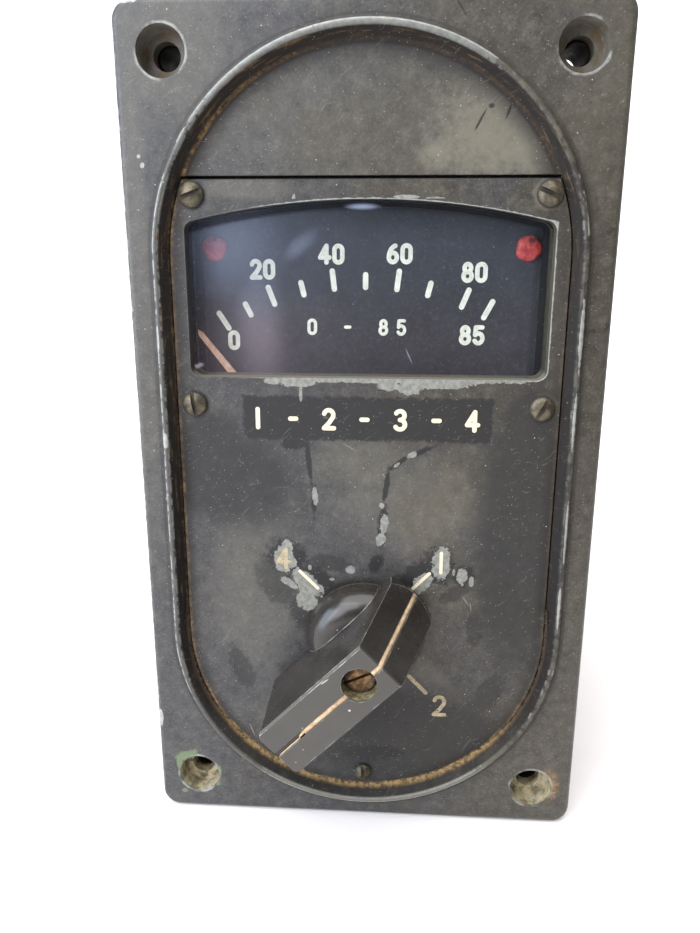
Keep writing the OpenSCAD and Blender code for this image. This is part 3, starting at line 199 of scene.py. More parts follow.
class Finish:
    """A material in the making: its nodes, the place on the face, and its surface."""

    def __init__(self, name):
        self.material = bpy.data.materials.new(name)
        self.material.use_nodes = True
        self.tree = self.material.node_tree
        self.tree.nodes.clear()
        self.surface = self.tree.nodes.new("ShaderNodeBsdfPrincipled")
        self.end = self.tree.nodes.new("ShaderNodeOutputMaterial")
        self.tree.links.new(self.surface.outputs[0], self.end.inputs["Surface"])
        metres = self.node("TexCoord", output="Object")
        self.spot = self.node("VectorMath", {"operation": "SCALE"},
                              {"Vector": metres, "Scale": 1 / MM})
        axes = self.node("SeparateXYZ", values={0: self.spot})
        self.u = axes
        self.v = axes.out("Z")
        self.w = axes.out("Y") * -1
        self.flat = self.node("CombineXYZ", values={0: self.u, 1: self.v})

    def feed(self, socket, value):
        """Links a value to a socket, or sets the socket where the value is plain."""
        if isinstance(value, Value):
            self.tree.links.new(value.socket, socket)
        else:
            socket.default_value = value

    def node(self, kind, settings=None, values=None, output=0):
        """Any other node: its kind, settings and inputs, and the output that is used."""
        made = self.tree.nodes.new("ShaderNode" + kind)
        for key, setting in (settings or {}).items():
            setattr(made, key, setting)
        for key, value in (values or {}).items():
            self.feed(made.inputs[key], value)
        return Value(self, made, output)

    def blend(self, factor, under, over):
        """A colour that goes from one to another as the factor rises."""
        return self.node("Mix", {"data_type": "RGBA"}, {0: factor, 6: under, 7: over}, output=2)

    def layered(self, colour, *layers):
        """A colour with others over it in turn, each given as its share and its colour."""
        for share, over in layers:
            colour = self.blend(share, colour, over)
        return colour

    def noise(self, per_mm, seed=0.0, detail=3.0, roughness=0.55, where=None):
        """Noise from 0 to 1 with so many lumps to the millimetre."""
        return self.node("TexNoise", {"noise_dimensions": "4D"},
                         {"Vector": where or self.spot, "W": seed * 7.3, "Scale": per_mm,
                          "Detail": detail, "Roughness": roughness})

    def specks(self, per_mm, radius, share, seed=0.0):
        """Round dots of that radius, in a share of the cells of a random grid."""
        moved = self.node("VectorMath", {}, {0: self.spot, 1: (seed * 17.1, seed * 9.7, seed * 5.3)})
        cells = self.node("TexVoronoi", {}, {"Vector": moved, "Scale": per_mm})
        pick = self.node("SeparateColor", values={0: cells.out("Color")})
        edge = radius * per_mm
        return cells.rise(edge, edge * 0.55) * pick.rise(share, share * 0.98)

    def oval(self, u, v, half_u, half_v, turn=0.0):
        """0 in the middle of an oval on the face, 1 on its outline and more beyond."""
        moved = self.node("Mapping", {"vector_type": "TEXTURE"},
                          {"Vector": self.flat, "Location": (u, v, 0),
                           "Rotation": (0, 0, math.radians(turn)), "Scale": (half_u, half_v, 1)})
        return self.node("VectorMath", {"operation": "LENGTH"}, {0: moved}, output="Value")

    def ovals(self, marks):
        """1 in the middle of each oval on the face, 0 on its outline and less beyond."""
        nearest = self.oval(*marks[0])
        for mark in marks[1:]:
            nearest = nearest.low(self.oval(*mark))
        return 1 - nearest

    def ragged(self, marks, noise, reach, soft):
        """The inside of ovals with their outlines broken up by noise."""
        return (self.ovals(marks) + (noise - 0.5) * reach).rise(-soft, soft)

    def length(self, across, up):
        """The length of a step across and up."""
        return (across * across + up * up) ** 0.5

    def spine_distance(self):
        """How far a place is from the upright line that the raised rim runs round."""
        return self.length(self.u, (abs(self.v) - rim_span / 2).high(0))

    def arch_distance(self):
        """How far a place is outside the window's arched top."""
        return self.length(self.u, self.v - (arch_top_v - arch_radius)) - arch_radius

    def window_distance(self):
        """How far a place on the plate is outside the window's edge."""
        beside = (abs(self.u) - (window_half_u - window_corner)).high(0)
        below = (window_low_v + window_corner - self.v).high(0)
        return self.arch_distance().high(self.length(beside, below) - window_corner)

    def show(self, name, value):
        """Feeds an input of the surface."""
        self.feed(self.surface.inputs[name], value)

    def wear(self, colour, roughness, metallic=0.0, height=None, depth=0.05):
        """Sets the surface; height, 0 to 1, stands for that depth in millimetres."""
        self.show("Base Color", colour)
        self.show("Roughness", roughness)
        self.show("Metallic", metallic)
        if height is not None:
            bump = self.node("Bump", {}, {"Strength": 1.0, "Distance": depth * MM, "Height": height})
            self.show("Normal", bump)
        return self.material


# Paint, metal and dirt

PAINT_COOL = tone(56, 56, 58)
PAINT_WARM = tone(61, 57, 49)
PAINT_LIGHT = tone(86, 83, 75)
PAINT_PALE = tone(122, 118, 103)
PAINT_DARK = tone(20, 20, 21)
BARE_METAL = tone(156, 159, 155)
DULL_METAL = tone(134, 136, 130)
BROWN_DIRT = tone(100, 78, 46)
TAN_DIRT = tone(158, 124, 74)
GREEN_CRUST = tone(104, 122, 84)
# Bores of the lower and upper mounting holes: pale and dark as painted light and shade
BORE_LOW = tone(196, 184, 152)
BORE_HIGH = tone(108, 101, 96)
# Tones of the window's walls, paler below and olive at the side: partly dust, partly painted light
WALL_LOW = tone(108, 104, 90)
WALL_SIDE = tone(66, 63, 50)
# Dark for painted shade in hollows and joints, and for dark dirt
SHADE_AND_DIRT_DARK = tone(24, 20, 16)
DUST = tone(190, 188, 180)
CREAM = tone(208, 198, 176)
OLD_CREAM = tone(176, 162, 130)


def weathered(paint, chips, dark, pale, dirt, painted_shade_and_seams, crust, crust_and_wall_tone):
    """Old matt paint with its chips, its darker and paler places, its dirt, its dust and its painted shade;
    the last layer holds crust, and walls in painted light and shade.
    """
    broad = paint.noise(0.055, seed=1, detail=4)
    cloud = paint.noise(0.5, seed=2, detail=6, roughness=0.7)
    grain = paint.noise(2.6, seed=3, detail=4, roughness=0.7)
    drawn = paint.node("CombineXYZ", values={0: paint.u * 0.4 + paint.v * 0.2 + broad * 9,
                                             1: paint.v * 3.0 - paint.u * 1.6 + broad * 50})
    hairs = paint.noise(1.0, seed=38, detail=2, where=drawn).rise(0.62, 0.7)
    pits = paint.specks(0.8, 0.17, 0.12, seed=12)
    dust = paint.specks(0.6, 0.13, 0.18, seed=1) + paint.specks(1.7, 0.07, 0.4, seed=2)
    bare = paint.blend(paint.noise(1.2, seed=4, detail=4).rise(0.35, 0.65), DULL_METAL, BARE_METAL)
    packed = paint.blend(cloud.rise(0.42, 0.6), BROWN_DIRT, TAN_DIRT)
    # Cool to warm at random, and warmer towards the right as painted light: the cool window light falls from
    # the left.
    colour = paint.layered(
        PAINT_COOL, ((broad * 2 - 1 + paint.u * 0.012).rise(-0.3, 0.4), PAINT_WARM),
        (cloud.rise(0.48, 0.74) * 0.7, PAINT_LIGHT), (cloud.rise(0.52, 0.3) * 0.6, PAINT_DARK),
        (grain.rise(0.5, 0.72) * 0.24, PAINT_PALE), (grain.rise(0.48, 0.28) * 0.4, PAINT_DARK),
        (pale, PAINT_PALE), (dark, PAINT_DARK), (painted_shade_and_seams, SHADE_AND_DIRT_DARK), (dirt, packed),
        (hairs * 0.2, PAINT_PALE), (pits * 0.7, PAINT_DARK), (dust * 0.7, DUST),
        (chips, bare), (crust, crust_and_wall_tone))
    roughness = 0.36 + cloud * 0.2 + dirt * 0.25 + painted_shade_and_seams * 0.3 + dark * 0.2 + chips * 0.1
    height = grain * 0.25 + cloud * 0.4
    return paint.wear(colour, roughness.low(0.9), chips * 0.25, height, 0.06)


# Marks as ovals on the face: centre u and v, half sizes, and the turn in degrees if any
PLATE_FLAKES = [  # paint gone to the metal
    (6, 14.1, 21, 0.5), (-12, 13.7, 3.4, 0.9), (-11.7, 11.6, 0.28, 1.6),
    (-16.8, 13.8, 1.6, 0.5), (4, 13.2, 2.2, 0.9), (7.8, 12.9, 2.2, 1.3),
    (13.5, 13.5, 5, 0.8), (-9.3, -7.4, 0.55, 1.7, 4), (8.3, 0.7, 1, 0.5, 25),
    (5.6, -1.2, 0.6, 0.3, 40), (3, -9, 0.5, 0.6), (3.5, -12.6, 0.85, 1.9, -8),
    (2.9, -15.5, 0.9, 1.3, -15), (-2.8, -21.8, 0.9, 0.8), (-14.7, -17.6, 1.1, 1.5),
    (-15.2, -20.1, 2.1, 2.7, 10), (-11, -24.6, 3.9, 1.7, -42), (-11.2, -28, 1.9, 2.4, 25),
    (-14.4, -24.7, 2, 0.7, -35), (14.2, -20, 1.75, 3.2), (10.7, -24.1, 2.5, 1.5, 48),
    (18.2, -22.4, 1, 1.6), (19.9, -23.5, 0.5, 1), (16.6, -21.7, 0.3, 0.7),
    (-10.4, -21.5, 0.35, 0.5), (-6.2, -23.8, 0.5, 0.3), (-5.6, -26.5, 1.5, 0.3, 20),
    (6.4, 44.7, 2.2, 0.3), (11.2, 44.4, 1.6, 0.28), (-12.4, 44.4, 0.3, 0.9),
]
PLATE_DARK = [  # scratches down to the primer and soil round the flakes
    (-13, 2.4, 2.6, 1), (-10.4, -0.5, 0.5, 5, 6),
    (-9.5, -8.5, 0.5, 3.2), (10, 1.4, 2.6, 0.45, 25), (5.9, -0.9, 2.4, 0.45, 38),
    (3.8, -5, 0.5, 3.4, -8), (3.2, -13, 0.9, 4.6, -4), (2.2, -20.4, 1.2, 2.1, -20),
    (-14.6, -20, 4.4, 3.4, -42), (-9, -24.4, 4.6, 2.8, -42), (-3.4, -25.4, 5, 1.2, 12),
    (13.8, -20.6, 3.2, 3.6), (9.2, -23.6, 4.6, 2.8, 42), (18.5, -22.3, 2.2, 2.2),
    # The last, low in the bay, is partly soil and partly painted shade.
    (2, -61, 7, 2),
]
PLATE_STAINS = [  # fainter soil
    (-17, -25, 3, 5, 30), (-12, -30, 2.4, 4, 10), (-6.5, -20.5, 4, 1.6, -10),
    (17, -26, 3.2, 1.4, 30), (21, -33, 1.6, 4), (8, -54, 8, 3.4, 25),
    (-24, -43, 2, 5, 20), (24, -47, 2.4, 6, -30), (-26.5, 3.6, 1.6, 2.6),
]
PLATE_SCRATCHES = [  # pale hairlines
    (20.4, -58.4, 0.1, 1.7, -30), (21.9, -57.2, 0.08, 1.2, -62), (-22.4, -57, 0.1, 1.3, 20),
    (-20.2, -58.2, 0.14, 0.8, -15), (19, -27.4, 0.09, 1.1, 35), (20, -28.6, 0.08, 0.9, 10),
    (-3, 2, 0.07, 1.2, 60), (-23, -1, 0.08, 0.9, 45),
]
PLATE_PAINTED_SHADE = [  # broad places painted darker as shade
    (-25, -4, 12, 9.5, -20), (28.5, -14, 8.5, 28), (7, -57, 22, 11),
    (-28, 3, 6, 5), (29, 6, 5, 8),
]
PLATE_PALE = [  # broad paler places
    (-21, -26, 8, 15), (8, -9, 13, 8), (13.5, -44.5, 2.4, 6, 42),
    (0, -1, 8, 5), (-22, 46, 9, 1.6),
]


def plate_paint():
    """The cover plate: chipped round the window and the marks, soiled along its edge."""
    paint = Finish("plate_paint_worn")
    fray = paint.noise(0.8, seed=5, detail=6, roughness=0.7)
    stray = fray - 0.5
    wide_fray = paint.noise(0.3, seed=6, detail=4)
    band = (abs(paint.u - title_centre[0]) - title_half[0]).high(
        abs(paint.v - title_centre[1]) - title_half[1])
    band = (band + stray * 2.6).rise(1.4, 0.7)
    edge_away = paint.window_distance()
    front = paint.w.rise(plate_front - 0.35, plate_front - 0.12)
    rubbed = (edge_away + stray * 0.7).rise(0.24, 0.1) * front
    chips = rubbed * (paint.u.rise(-24.0, -12.0) * 0.8 + 0.1)
    # The opening's wall, paler below and olive at the right where light falls on it: partly dust, partly
    # painted light. It goes in as the last layer.
    wall = (1 - front) * edge_away.rise(0.6, 0.3)
    wall = wall * paint.u.rise(27.0, 30.5).high(paint.v.rise(window_low_v + 1.6, window_low_v + 0.6))
    wall_tone = paint.blend(paint.v.rise(window_low_v + 1.6, window_low_v + 0.4), WALL_SIDE, WALL_LOW)
    dark = paint.ragged(PLATE_DARK, fray, 2.2, 0.3) * 0.95
    dark = dark.high(paint.ragged(PLATE_STAINS, fray, 1.6, 0.25) * 0.6)
    shade = paint.ragged(PLATE_PAINTED_SHADE, wide_fray, 0.6, 0.35) * 0.7
    pale = paint.ragged(PLATE_PALE, wide_fray, 0.9, 0.45) * 0.19
    pale = pale.high(paint.ragged(PLATE_SCRATCHES, fray, 0.9, 0.3))
    away = paint.spine_distance()
    low = paint.v.rise(-40.0, -58.0)
    left = paint.u.rise(-6.0, -24.0)
    edge = (away + stray * 0.9).rise(33.2, 33.7)
    dirt = edge * (low * 0.7 + left * 0.35 + 0.1) * paint.noise(1.4, seed=7).rise(0.3, 0.6)
    # Painted shade, darker in the bay along the rim and next to the window's edge; the line along the seam is
    # a dark joint.
    painted_shade_and_seams = away.rise(31.2, 33.2) * 0.45 + (1 - edge_away.rise(0.0, 2.2)) * 0.25
    painted_shade_and_seams = painted_shade_and_seams + (abs(paint.v - split_v) + stray * 0.3).rise(0.55, 0.2) * 0.7
    from_screw = paint.length(abs(paint.u) - top_screw[0], paint.v - top_screw[1]).low(
        paint.length(abs(paint.u) - side_screw[0], paint.v - side_screw[1]))
    ring = (from_screw + stray * 1.6).rise(3.0, 2.4)
    pale = pale.high(ring * paint.u.rise(-10.0, 10.0) * wide_fray.rise(0.4, 0.6) * 0.6)
    from_knob = paint.length(paint.u - knob_axis[0], paint.v - knob_axis[1])
    foot = (from_knob + stray).rise(skirt_radius, skirt_radius - 1.2)
    # More painted shade round the knob's foot and on the walls below the front, and a dark ring round the
    # screws, partly dirt and partly painted shade.
    painted_shade_and_seams = painted_shade_and_seams.high(foot * 0.7).high((1 - front) * 0.8).high(ring * 0.3)
    return weathered(paint, chips, dark.high(band * 0.94).high(shade), pale, dirt, painted_shade_and_seams.low(1.0),
                     wall * 0.85, wall_tone)


FRAME_FLAKES = [  # paint gone to the metal
    (-40.6, -54, 0.5, 2), (-35.9, 3, 0.5, 1.4), (-39, 74.3, 2.6, 0.7),
    (37.5, 74.2, 2.2, 0.6), (-37.4, 49.6, 0.5, 0.4, 60), (-37.9, 51, 0.3, 0.3),
    (33, 20, 0.25, 0.4), (-36.6, -8, 0.2, 0.3), (36, 22.5, 0.36, 5.6), (35.9, 8, 0.24, 5),
    (36, -13, 0.2, 6), (35.8, -27, 0.24, 4), (-36.2, 21, 0.3, 2.4), (-36.2, 12, 0.22, 1.4),
]
FRAME_SCRATCHES = [  # dark scratches
    (18, 56.4, 0.22, 1.7, -28), (22.4, 57.6, 0.2, 1.2, -20), (19.6, 58.4, 0.45, 0.35),
    (14, 72.5, 0.14, 2, 35), (29, 53, 0.2, 0.8, 30),
]
FRAME_PALE = [(19, 54, 8, 6.5, -25), (11.5, 51.5, 3, 2.4), (24, 52, 5, 4)]  # on the pad
FRAME_CRUST = [(-35.8, -62.6, 2.4, 1, 20), (-37.4, -64.4, 0.6, 1.6), (-29.4, -66, 0.6, 1.4),
               (-29.9, -68.6, 0.5, 1, 30), (-36.6, -70.9, 0.6, 0.4)]
# Painted sheen: paler at the top left corner and down the left edge
FRAME_PAINTED_SHEEN = [(-31, 67, 9, 8.5), (-39, 30, 2.2, 44)]
# Painted sheen: faintly paler on the top of the pad and the flange's upper right
FRAME_TOP_SHEEN = [(-6, 56.5, 25, 11), (38, 60, 7, 18)]


def frame_paint():
    """The cast frame: rim rubbed to the metal, dirt in the bay's corner, stained holes."""
    paint = Finish("frame_paint_worn")
    fray = paint.noise(0.8, seed=5, detail=5, roughness=0.65)
    stray = fray - 0.5
    wide_fray = paint.noise(0.25, seed=6, detail=4)
    along = paint.noise(0.085, seed=8)
    away = paint.spine_distance()
    edges = (abs(abs(away - rim_radius) - 0.42) + stray * 0.35).rise(0.26, 0.1)
    edges = edges * (away.rise(rim_radius - 0.1, rim_radius + 0.1) * 0.6 + 0.4)
    high_up = paint.v.rise(44.0, 64.0) * paint.u.rise(28.0, 14.0)
    low_down = paint.v.rise(-56.0, -66.0) * paint.u.rise(-26.0, -14.0)
    worn_length = along.rise(0.56, 0.66).high(high_up).high(low_down).high(paint.u.rise(-30.0, -35.0) * 0.6)
    # The line rubbed to the metal along the crest is partly wear and partly painted highlight.
    rubbed = edges.high(high_up * 0.5) * paint.w.rise(rim_top - 0.5, rim_top - 0.15)
    rubbed = rubbed * (worn_length + stray * 2.6).rise(0.46, 0.66) * 0.9
    chips = paint.ragged(FRAME_FLAKES, fray, 1.5, 0.1).high(rubbed)
    outline = (abs(paint.u) - flange_half_u).high(abs(paint.v) - flange_half_v)
    corner = (outline + stray * 1.7).rise(-0.42, -0.2) * paint.w.rise(4.7, 5.6)
    chips = chips.high(corner * (paint.u.rise(-30.0, -40.0) * 0.75 + 0.25) * 0.9)
    hole_away = paint.length(abs(paint.u) - hole_u, abs(paint.v) - hole_v)
    lip = (abs(hole_away - hole_sink) + stray * 0.8).rise(0.5, 0.15)
    chips = chips.high(lip * wide_fray.rise(0.42, 0.6) * 0.75)
    # Painted shade down in the counterbores of the mounting holes.
    painted_shade_and_seams = (hole_away + stray).rise(4.1, 3.4) * 0.4
    # A band of painted shade inside the rim, weaker at the bottom; the same band carries bronze streaks of
    # dirt.
    inside = (away + stray * 0.4).rise(35.7, 35.2)
    inside = inside * away.rise(32.0, 33.6).high((away + fray * 2.4).rise(31.0, 35.0) * 0.75)
    groove = (away + stray * 0.5).rise(34.4, 34.1) * away.rise(33.4, 33.8)
    around = paint.node("CombineXYZ", values={0: away * 3.2, 1: paint.u * 0.22, 2: paint.v * 0.22})
    bronze = paint.noise(1.0, seed=33, where=around).rise(0.52, 0.7)
    # A darker ring round the rim's outer foot, partly dirt and partly painted shade.
    foot = (abs(away - 37.1) + stray * 0.5).rise(0.5, 0.1) * 0.4
    low = paint.v.rise(-44.0, -60.0)
    corner_hole = paint.ragged([(36.6, -66.0, 2.2, 3.4)], fray, 1.0, 0.3)
    left = paint.u.rise(-8.0, -26.0) * paint.v.rise(-60.0, -20.0)
    streak = paint.noise(1.4, seed=7).rise(0.3, 0.6)
    dirt = groove * (low * 0.5 + left * 0.6 + 0.1) * streak
    dirt = dirt.high(inside * away.rise(34.0, 34.5) * bronze * (left.high(paint.v.rise(20.0, 50.0)) * 0.4))
    dirt = dirt.high(corner_hole * hole_away.rise(3.4, 4.2) * 0.5)
    bore = hole_away.rise(hole_sink + 0.15, hole_sink - 0.1) * paint.w.rise(flange_front, flange_front - 0.3)
    bore_stain = paint.noise(0.5, seed=34, detail=5).rise(0.46, 0.6) * 0.8
    # Painted light and shade in the bores: pale in the lower holes, dark in the upper ones, with brown
    # stains.
    bore_tone = paint.layered(BORE_HIGH, (paint.v.rise(20.0, -20.0), BORE_LOW), (bore_stain, BROWN_DIRT))
    painted_shade_and_seams = painted_shade_and_seams + inside * (1.0 - low * 0.5) + foot
    painted_shade_and_seams = painted_shade_and_seams + (abs(paint.v - split_v) + stray * 0.3).rise(0.5, 0.15) * away.rise(34.0, 33.6) * 0.8
    dark = paint.ragged(FRAME_SCRATCHES, fray, 2.4, 0.3) * 0.9
    pale = paint.ragged(FRAME_PALE, fray, 2.2, 0.9) * 0.62
    pale = pale.high(paint.ragged(FRAME_PAINTED_SHEEN, wide_fray, 0.8, 0.4) * 0.16)
    pale = pale.high(paint.ragged(FRAME_TOP_SHEEN, wide_fray, 0.7, 0.4) * 0.09)
    # The rim's top is painted paler, most at the lower left: partly wear, partly painted highlight.
    pale = pale.high(paint.w.rise(rim_top - 0.5, rim_top - 0.1) * (low_down * 0.45 + 0.12))
    # Darker patches on the upper part of the rim at the right.
    darker_right_crest = paint.w.rise(rim_top - 1.2, rim_top - 0.6) * paint.u.rise(24.0, 32.0) * fray.rise(0.56, 0.44)
    dark = dark.high(darker_right_crest * 0.75)
    crust = paint.ragged(FRAME_CRUST, fray, 1.6, 0.25) * hole_away.rise(3.9, 4.3)
    bore = bore * (fray + 0.25).rise(0.45, 0.8)
    return weathered(paint, chips, dark, pale, dirt.low(1.0), painted_shade_and_seams.low(1.0),
                     (crust * 0.7).high(bore * 0.8), paint.blend(bore, GREEN_CRUST, bore_tone))


def flaked_metal():
    """The metal of the cover plate where its paint has flaked off, clear elsewhere."""
    bare = Finish("plate_metal_bare")
    fray = bare.noise(0.8, seed=5, detail=6, roughness=0.7)
    tarnish = bare.noise(1.2, seed=4, detail=4)
    colour = bare.blend(tarnish.rise(0.35, 0.65), tone(114, 114, 106), tone(138, 139, 134))
    flakes = bare.ragged(PLATE_FLAKES, fray, 1.7, 0.05)
    bare.show("Alpha", flakes)
    return bare.wear(colour, 0.46 + tarnish * 0.2, 0.25)


def knob_edge():
    """The knob's rounded edges, pale in places: partly rubbed, partly painted highlight."""
    edge = Finish("knob_edge")
    fray = edge.noise(0.5, seed=9, detail=5, roughness=0.7)
    bare = fray.rise(0.5, 0.58)
    grain = edge.noise(5.0, seed=3, detail=2)
    colour = edge.blend(bare, tone(84, 82, 78), tone(150, 150, 146))
    return edge.wear(colour, 0.5 - bare * 0.08 + grain * 0.12, bare * 0.3, grain - bare * 0.8, 0.03)


def case_paint():
    """The case behind the flange: smooth black enamel, dusty, with a few rubs."""
    paint = Finish("case_enamel")
    cloud = paint.noise(0.06, seed=11, detail=4)
    grain = paint.noise(3.0, seed=12)
    rub = paint.noise(0.4, seed=13, detail=6, roughness=0.7)
    bare = rub.rise(0.72, 0.76)
    dust = paint.specks(0.8, 0.16, 0.25, seed=4)
    colour = paint.layered(tone(34, 34, 35), (cloud.rise(0.35, 0.7), tone(50, 50, 49)),
                           (dust * 0.6, DUST), (bare, DULL_METAL))
    return paint.wear(colour, 0.32 + cloud * 0.25, bare * 0.4, grain * 0.6 - bare * 0.5, 0.03)


def matt_black(name, colour, lighter):
    """Flat instrument black with faint mottling and a few motes."""
    paint = Finish(name)
    cloud = paint.noise(0.12, seed=14, detail=5)
    grain = paint.noise(2.5, seed=15, detail=4)
    motes = paint.specks(0.4, 0.13, 0.14, seed=5) + paint.specks(1.2, 0.06, 0.12, seed=10)
    shade = paint.layered(colour, (cloud.rise(0.35, 0.7), lighter), (motes * 0.7, DUST))
    return paint.wear(shade, 0.66 + grain * 0.12)


def metal(name, colour, darker, roughness, spots=0.75, brush=None):
    """Plain metal with its tarnish, from the mill, the lathe or a plating bath."""
    bare = Finish(name)
    cloud = bare.noise(0.35, seed=16, detail=5, roughness=0.6)
    fine = bare.noise(4.0, seed=17)
    if brush:
        drawn = bare.node("VectorMath", {"operation": "MULTIPLY"}, {0: bare.spot, 1: brush})
        fine = bare.noise(1.0, seed=17, detail=4, where=drawn)
    tarnish = cloud.rise(spots - 0.3, spots)
    shade = bare.blend(tarnish, colour, darker)
    return bare.wear(shade, roughness + cloud * 0.18 + tarnish * 0.15, 1 - tarnish * 0.35,
                     fine * 0.6 + tarnish * 0.3, 0.02)


def blackened_steel():
    """Old chemical black on steel screws, thin on their crowns, brown in places; slots and head feet painted
    dark as shade and dirt.
    """
    steel = Finish("screw_black")
    cloud = steel.noise(0.6, seed=18, detail=5, roughness=0.65)
    fine = steel.noise(5.0, seed=19)
    rust = steel.noise(0.9, seed=20, detail=4).rise(0.56, 0.7)
    # Painted shade and dirt down in the slots and round the foot of each head.
    sunk = steel.w.rise(plate_front + 0.75, plate_front + 0.5) * steel.w.rise(plate_front - 1, plate_front)
    shade = steel.layered(tone(64, 59, 47), (cloud.rise(0.4, 0.65), tone(108, 100, 80)),
                          (rust * 0.6, tone(84, 66, 42)), (sunk * 0.85, SHADE_AND_DIRT_DARK))
    rough = 0.36 + fine * 0.2 + rust * 0.15 + sunk * 0.3
    return steel.wear(shade, rough.low(0.9), (0.5 - rust * 0.3) * (1 - sunk), fine * 0.7 + cloud, 0.03)


def plastic(name, colour, lighter, roughness, mottle=0.5):
    """Moulded plastic or rubber, a little uneven in colour and gloss."""
    mould = Finish(name)
    cloud = mould.noise(mottle, seed=21, detail=4)
    fine = mould.noise(5.0, seed=22)
    dust = mould.specks(1.0, 0.12, 0.2, seed=6)
    shade = mould.layered(colour, (cloud.rise(0.35, 0.7), lighter), (dust * 0.5, DUST))
    return mould.wear(shade, roughness + fine * 0.12, 0.0, fine * 0.6 + dust, 0.015)


KNOB_SCRATCHES = [(-6.6, -33.4, 0.14, 0.9, -60), (-5.8, -34.1, 0.1, 0.8, -50), (-7.4, -34.4, 0.2, 0.25),
                  (-1.6, -39.4, 0.22, 0.2), (-5.0, -30.0, 0.1, 0.6, 30)]


def knob_moulding():
    """Old brown-black moulding: satin, handled smooth, greasy dirt low down."""
    mould = Finish("knob_moulding")
    cloud = mould.noise(0.22, seed=23, detail=5, roughness=0.6)
    fine = mould.noise(3.5, seed=24)
    scuff = mould.noise(1.1, seed=25, detail=6, roughness=0.7)
    top = mould.w.rise(knob_top - 0.6, knob_top - 0.2)
    low = mould.w.rise(plate_front + 2.4, plate_front + 0.4)
    grime = (low + (scuff - 0.5) * 1.2).rise(0.6, 1.0)
    dust = mould.specks(0.8, 0.13, 0.12, seed=7)
    across, up = mould.u - knob_axis[0], mould.v - knob_axis[1]
    bored = mould.length(across, up).rise(recess_radius + 0.2, recess_radius + 0.11)
    bored = bored * mould.w.rise(knob_top - 0.35, knob_top - 0.5)
    chalk = mould.blend(scuff.rise(0.4, 0.6), tone(176, 170, 136), tone(116, 104, 74))
    beside_line = abs((up - across) * 0.7071)
    chamfer = beside_line.rise(4.6, 4.9) * mould.w.rise(knob_top - 0.7, knob_top - 0.4)
    groove = beside_line.rise(0.52, 0.46) * mould.w.rise(knob_top - 0.2, knob_top - 0.28) * top
    scratch = mould.ragged(KNOB_SCRATCHES, scuff, 1.2, 0.2) * top
    # The flat top is painted paler: painted light, the top face lit from above.
    shade = mould.layered(
        tone(38, 35, 32), (cloud.rise(0.4, 0.65), tone(48, 45, 41)), (top * 0.5, tone(84, 82, 77)),
        (grime * 0.5, tone(78, 74, 60)), (dust * 0.7, DUST), (bored, chalk),
        (groove * 0.8, tone(30, 24, 20)), (scratch * 0.7, tone(206, 206, 200)))
    rough = 0.18 + cloud * 0.1 + scuff.rise(0.5, 0.75) * 0.1 + grime * 0.3 + top * 0.16 + chamfer * 0.2
    return mould.wear(shade, rough, bored * 0.4, fine * 0.3 + scuff * 0.25 + dust * 0.5, 0.005)


def sunk_screw():
    """The brass screw down in the knob: brown with age, dark round its head and more so towards its top, as
    greasy dirt and painted shade.
    """
    brass = Finish("knob_screw_brown")
    cloud = brass.noise(0.9, seed=16, detail=5, roughness=0.65)
    fine = brass.noise(4.0, seed=17)
    up = brass.v - knob_axis[1]
    from_axis = brass.length(brass.u - knob_axis[0], up)
    grease_and_shade = (from_axis + (cloud - 0.5) * 1.6 + up * 0.14).rise(1.5, 2.6)
    shade = brass.layered(tone(160, 132, 98), (cloud.rise(0.34, 0.6), tone(100, 78, 56)),
                          (grease_and_shade * 0.9, tone(34, 26, 20)))
    return brass.wear(shade, (0.44 + cloud * 0.18 + grease_and_shade * 0.3).low(0.9), 0.9 - grease_and_shade * 0.7,
                      fine * 0.6 + grease_and_shade, 0.03)


def old_figures(name, colour, older, worn_from, glow=0.0):
    """Paint of a mark or of the pointer: uneven in tone, and broken where worn_from is low."""
    paint = Finish(name)
    cloud = paint.noise(0.9, seed=26, detail=4)
    fine = paint.noise(5.0, seed=27)
    gone = paint.noise(1.6, seed=28, detail=5, roughness=0.7).rise(worn_from, worn_from + 0.06)
    shade = paint.layered(colour, (cloud.rise(0.35, 0.7), older), (gone, PAINT_DARK))
    # Painted light: the glow lifts the dial's marks and the pointer, which lie in shade behind the window.
    if glow:
        paint.show("Emission Color", shade)
        paint.show("Emission Strength", glow)
    return paint.wear(shade, 0.55 + fine * 0.15, 0.0, fine * 0.5 - gone, 0.02)


def red_lacquer():
    """The thick red seal over the dial screws."""
    seal = Finish("seal_lacquer")
    cloud = seal.noise(0.7, seed=29, detail=4)
    lumps = seal.noise(1.6, seed=30)
    dents = seal.ragged([(28.7, 38.0, 0.7, 0.45), (-28.0, 38.1, 0.4, 0.3)], cloud, 1.0, 0.25)
    shade = seal.layered(tone(186, 40, 34), (cloud.rise(0.35, 0.7), tone(228, 92, 78)),
                         (dents * 0.85, tone(60, 26, 24)))
    return seal.wear(shade, 0.26 + cloud * 0.2, 0.0, lumps, 0.3)


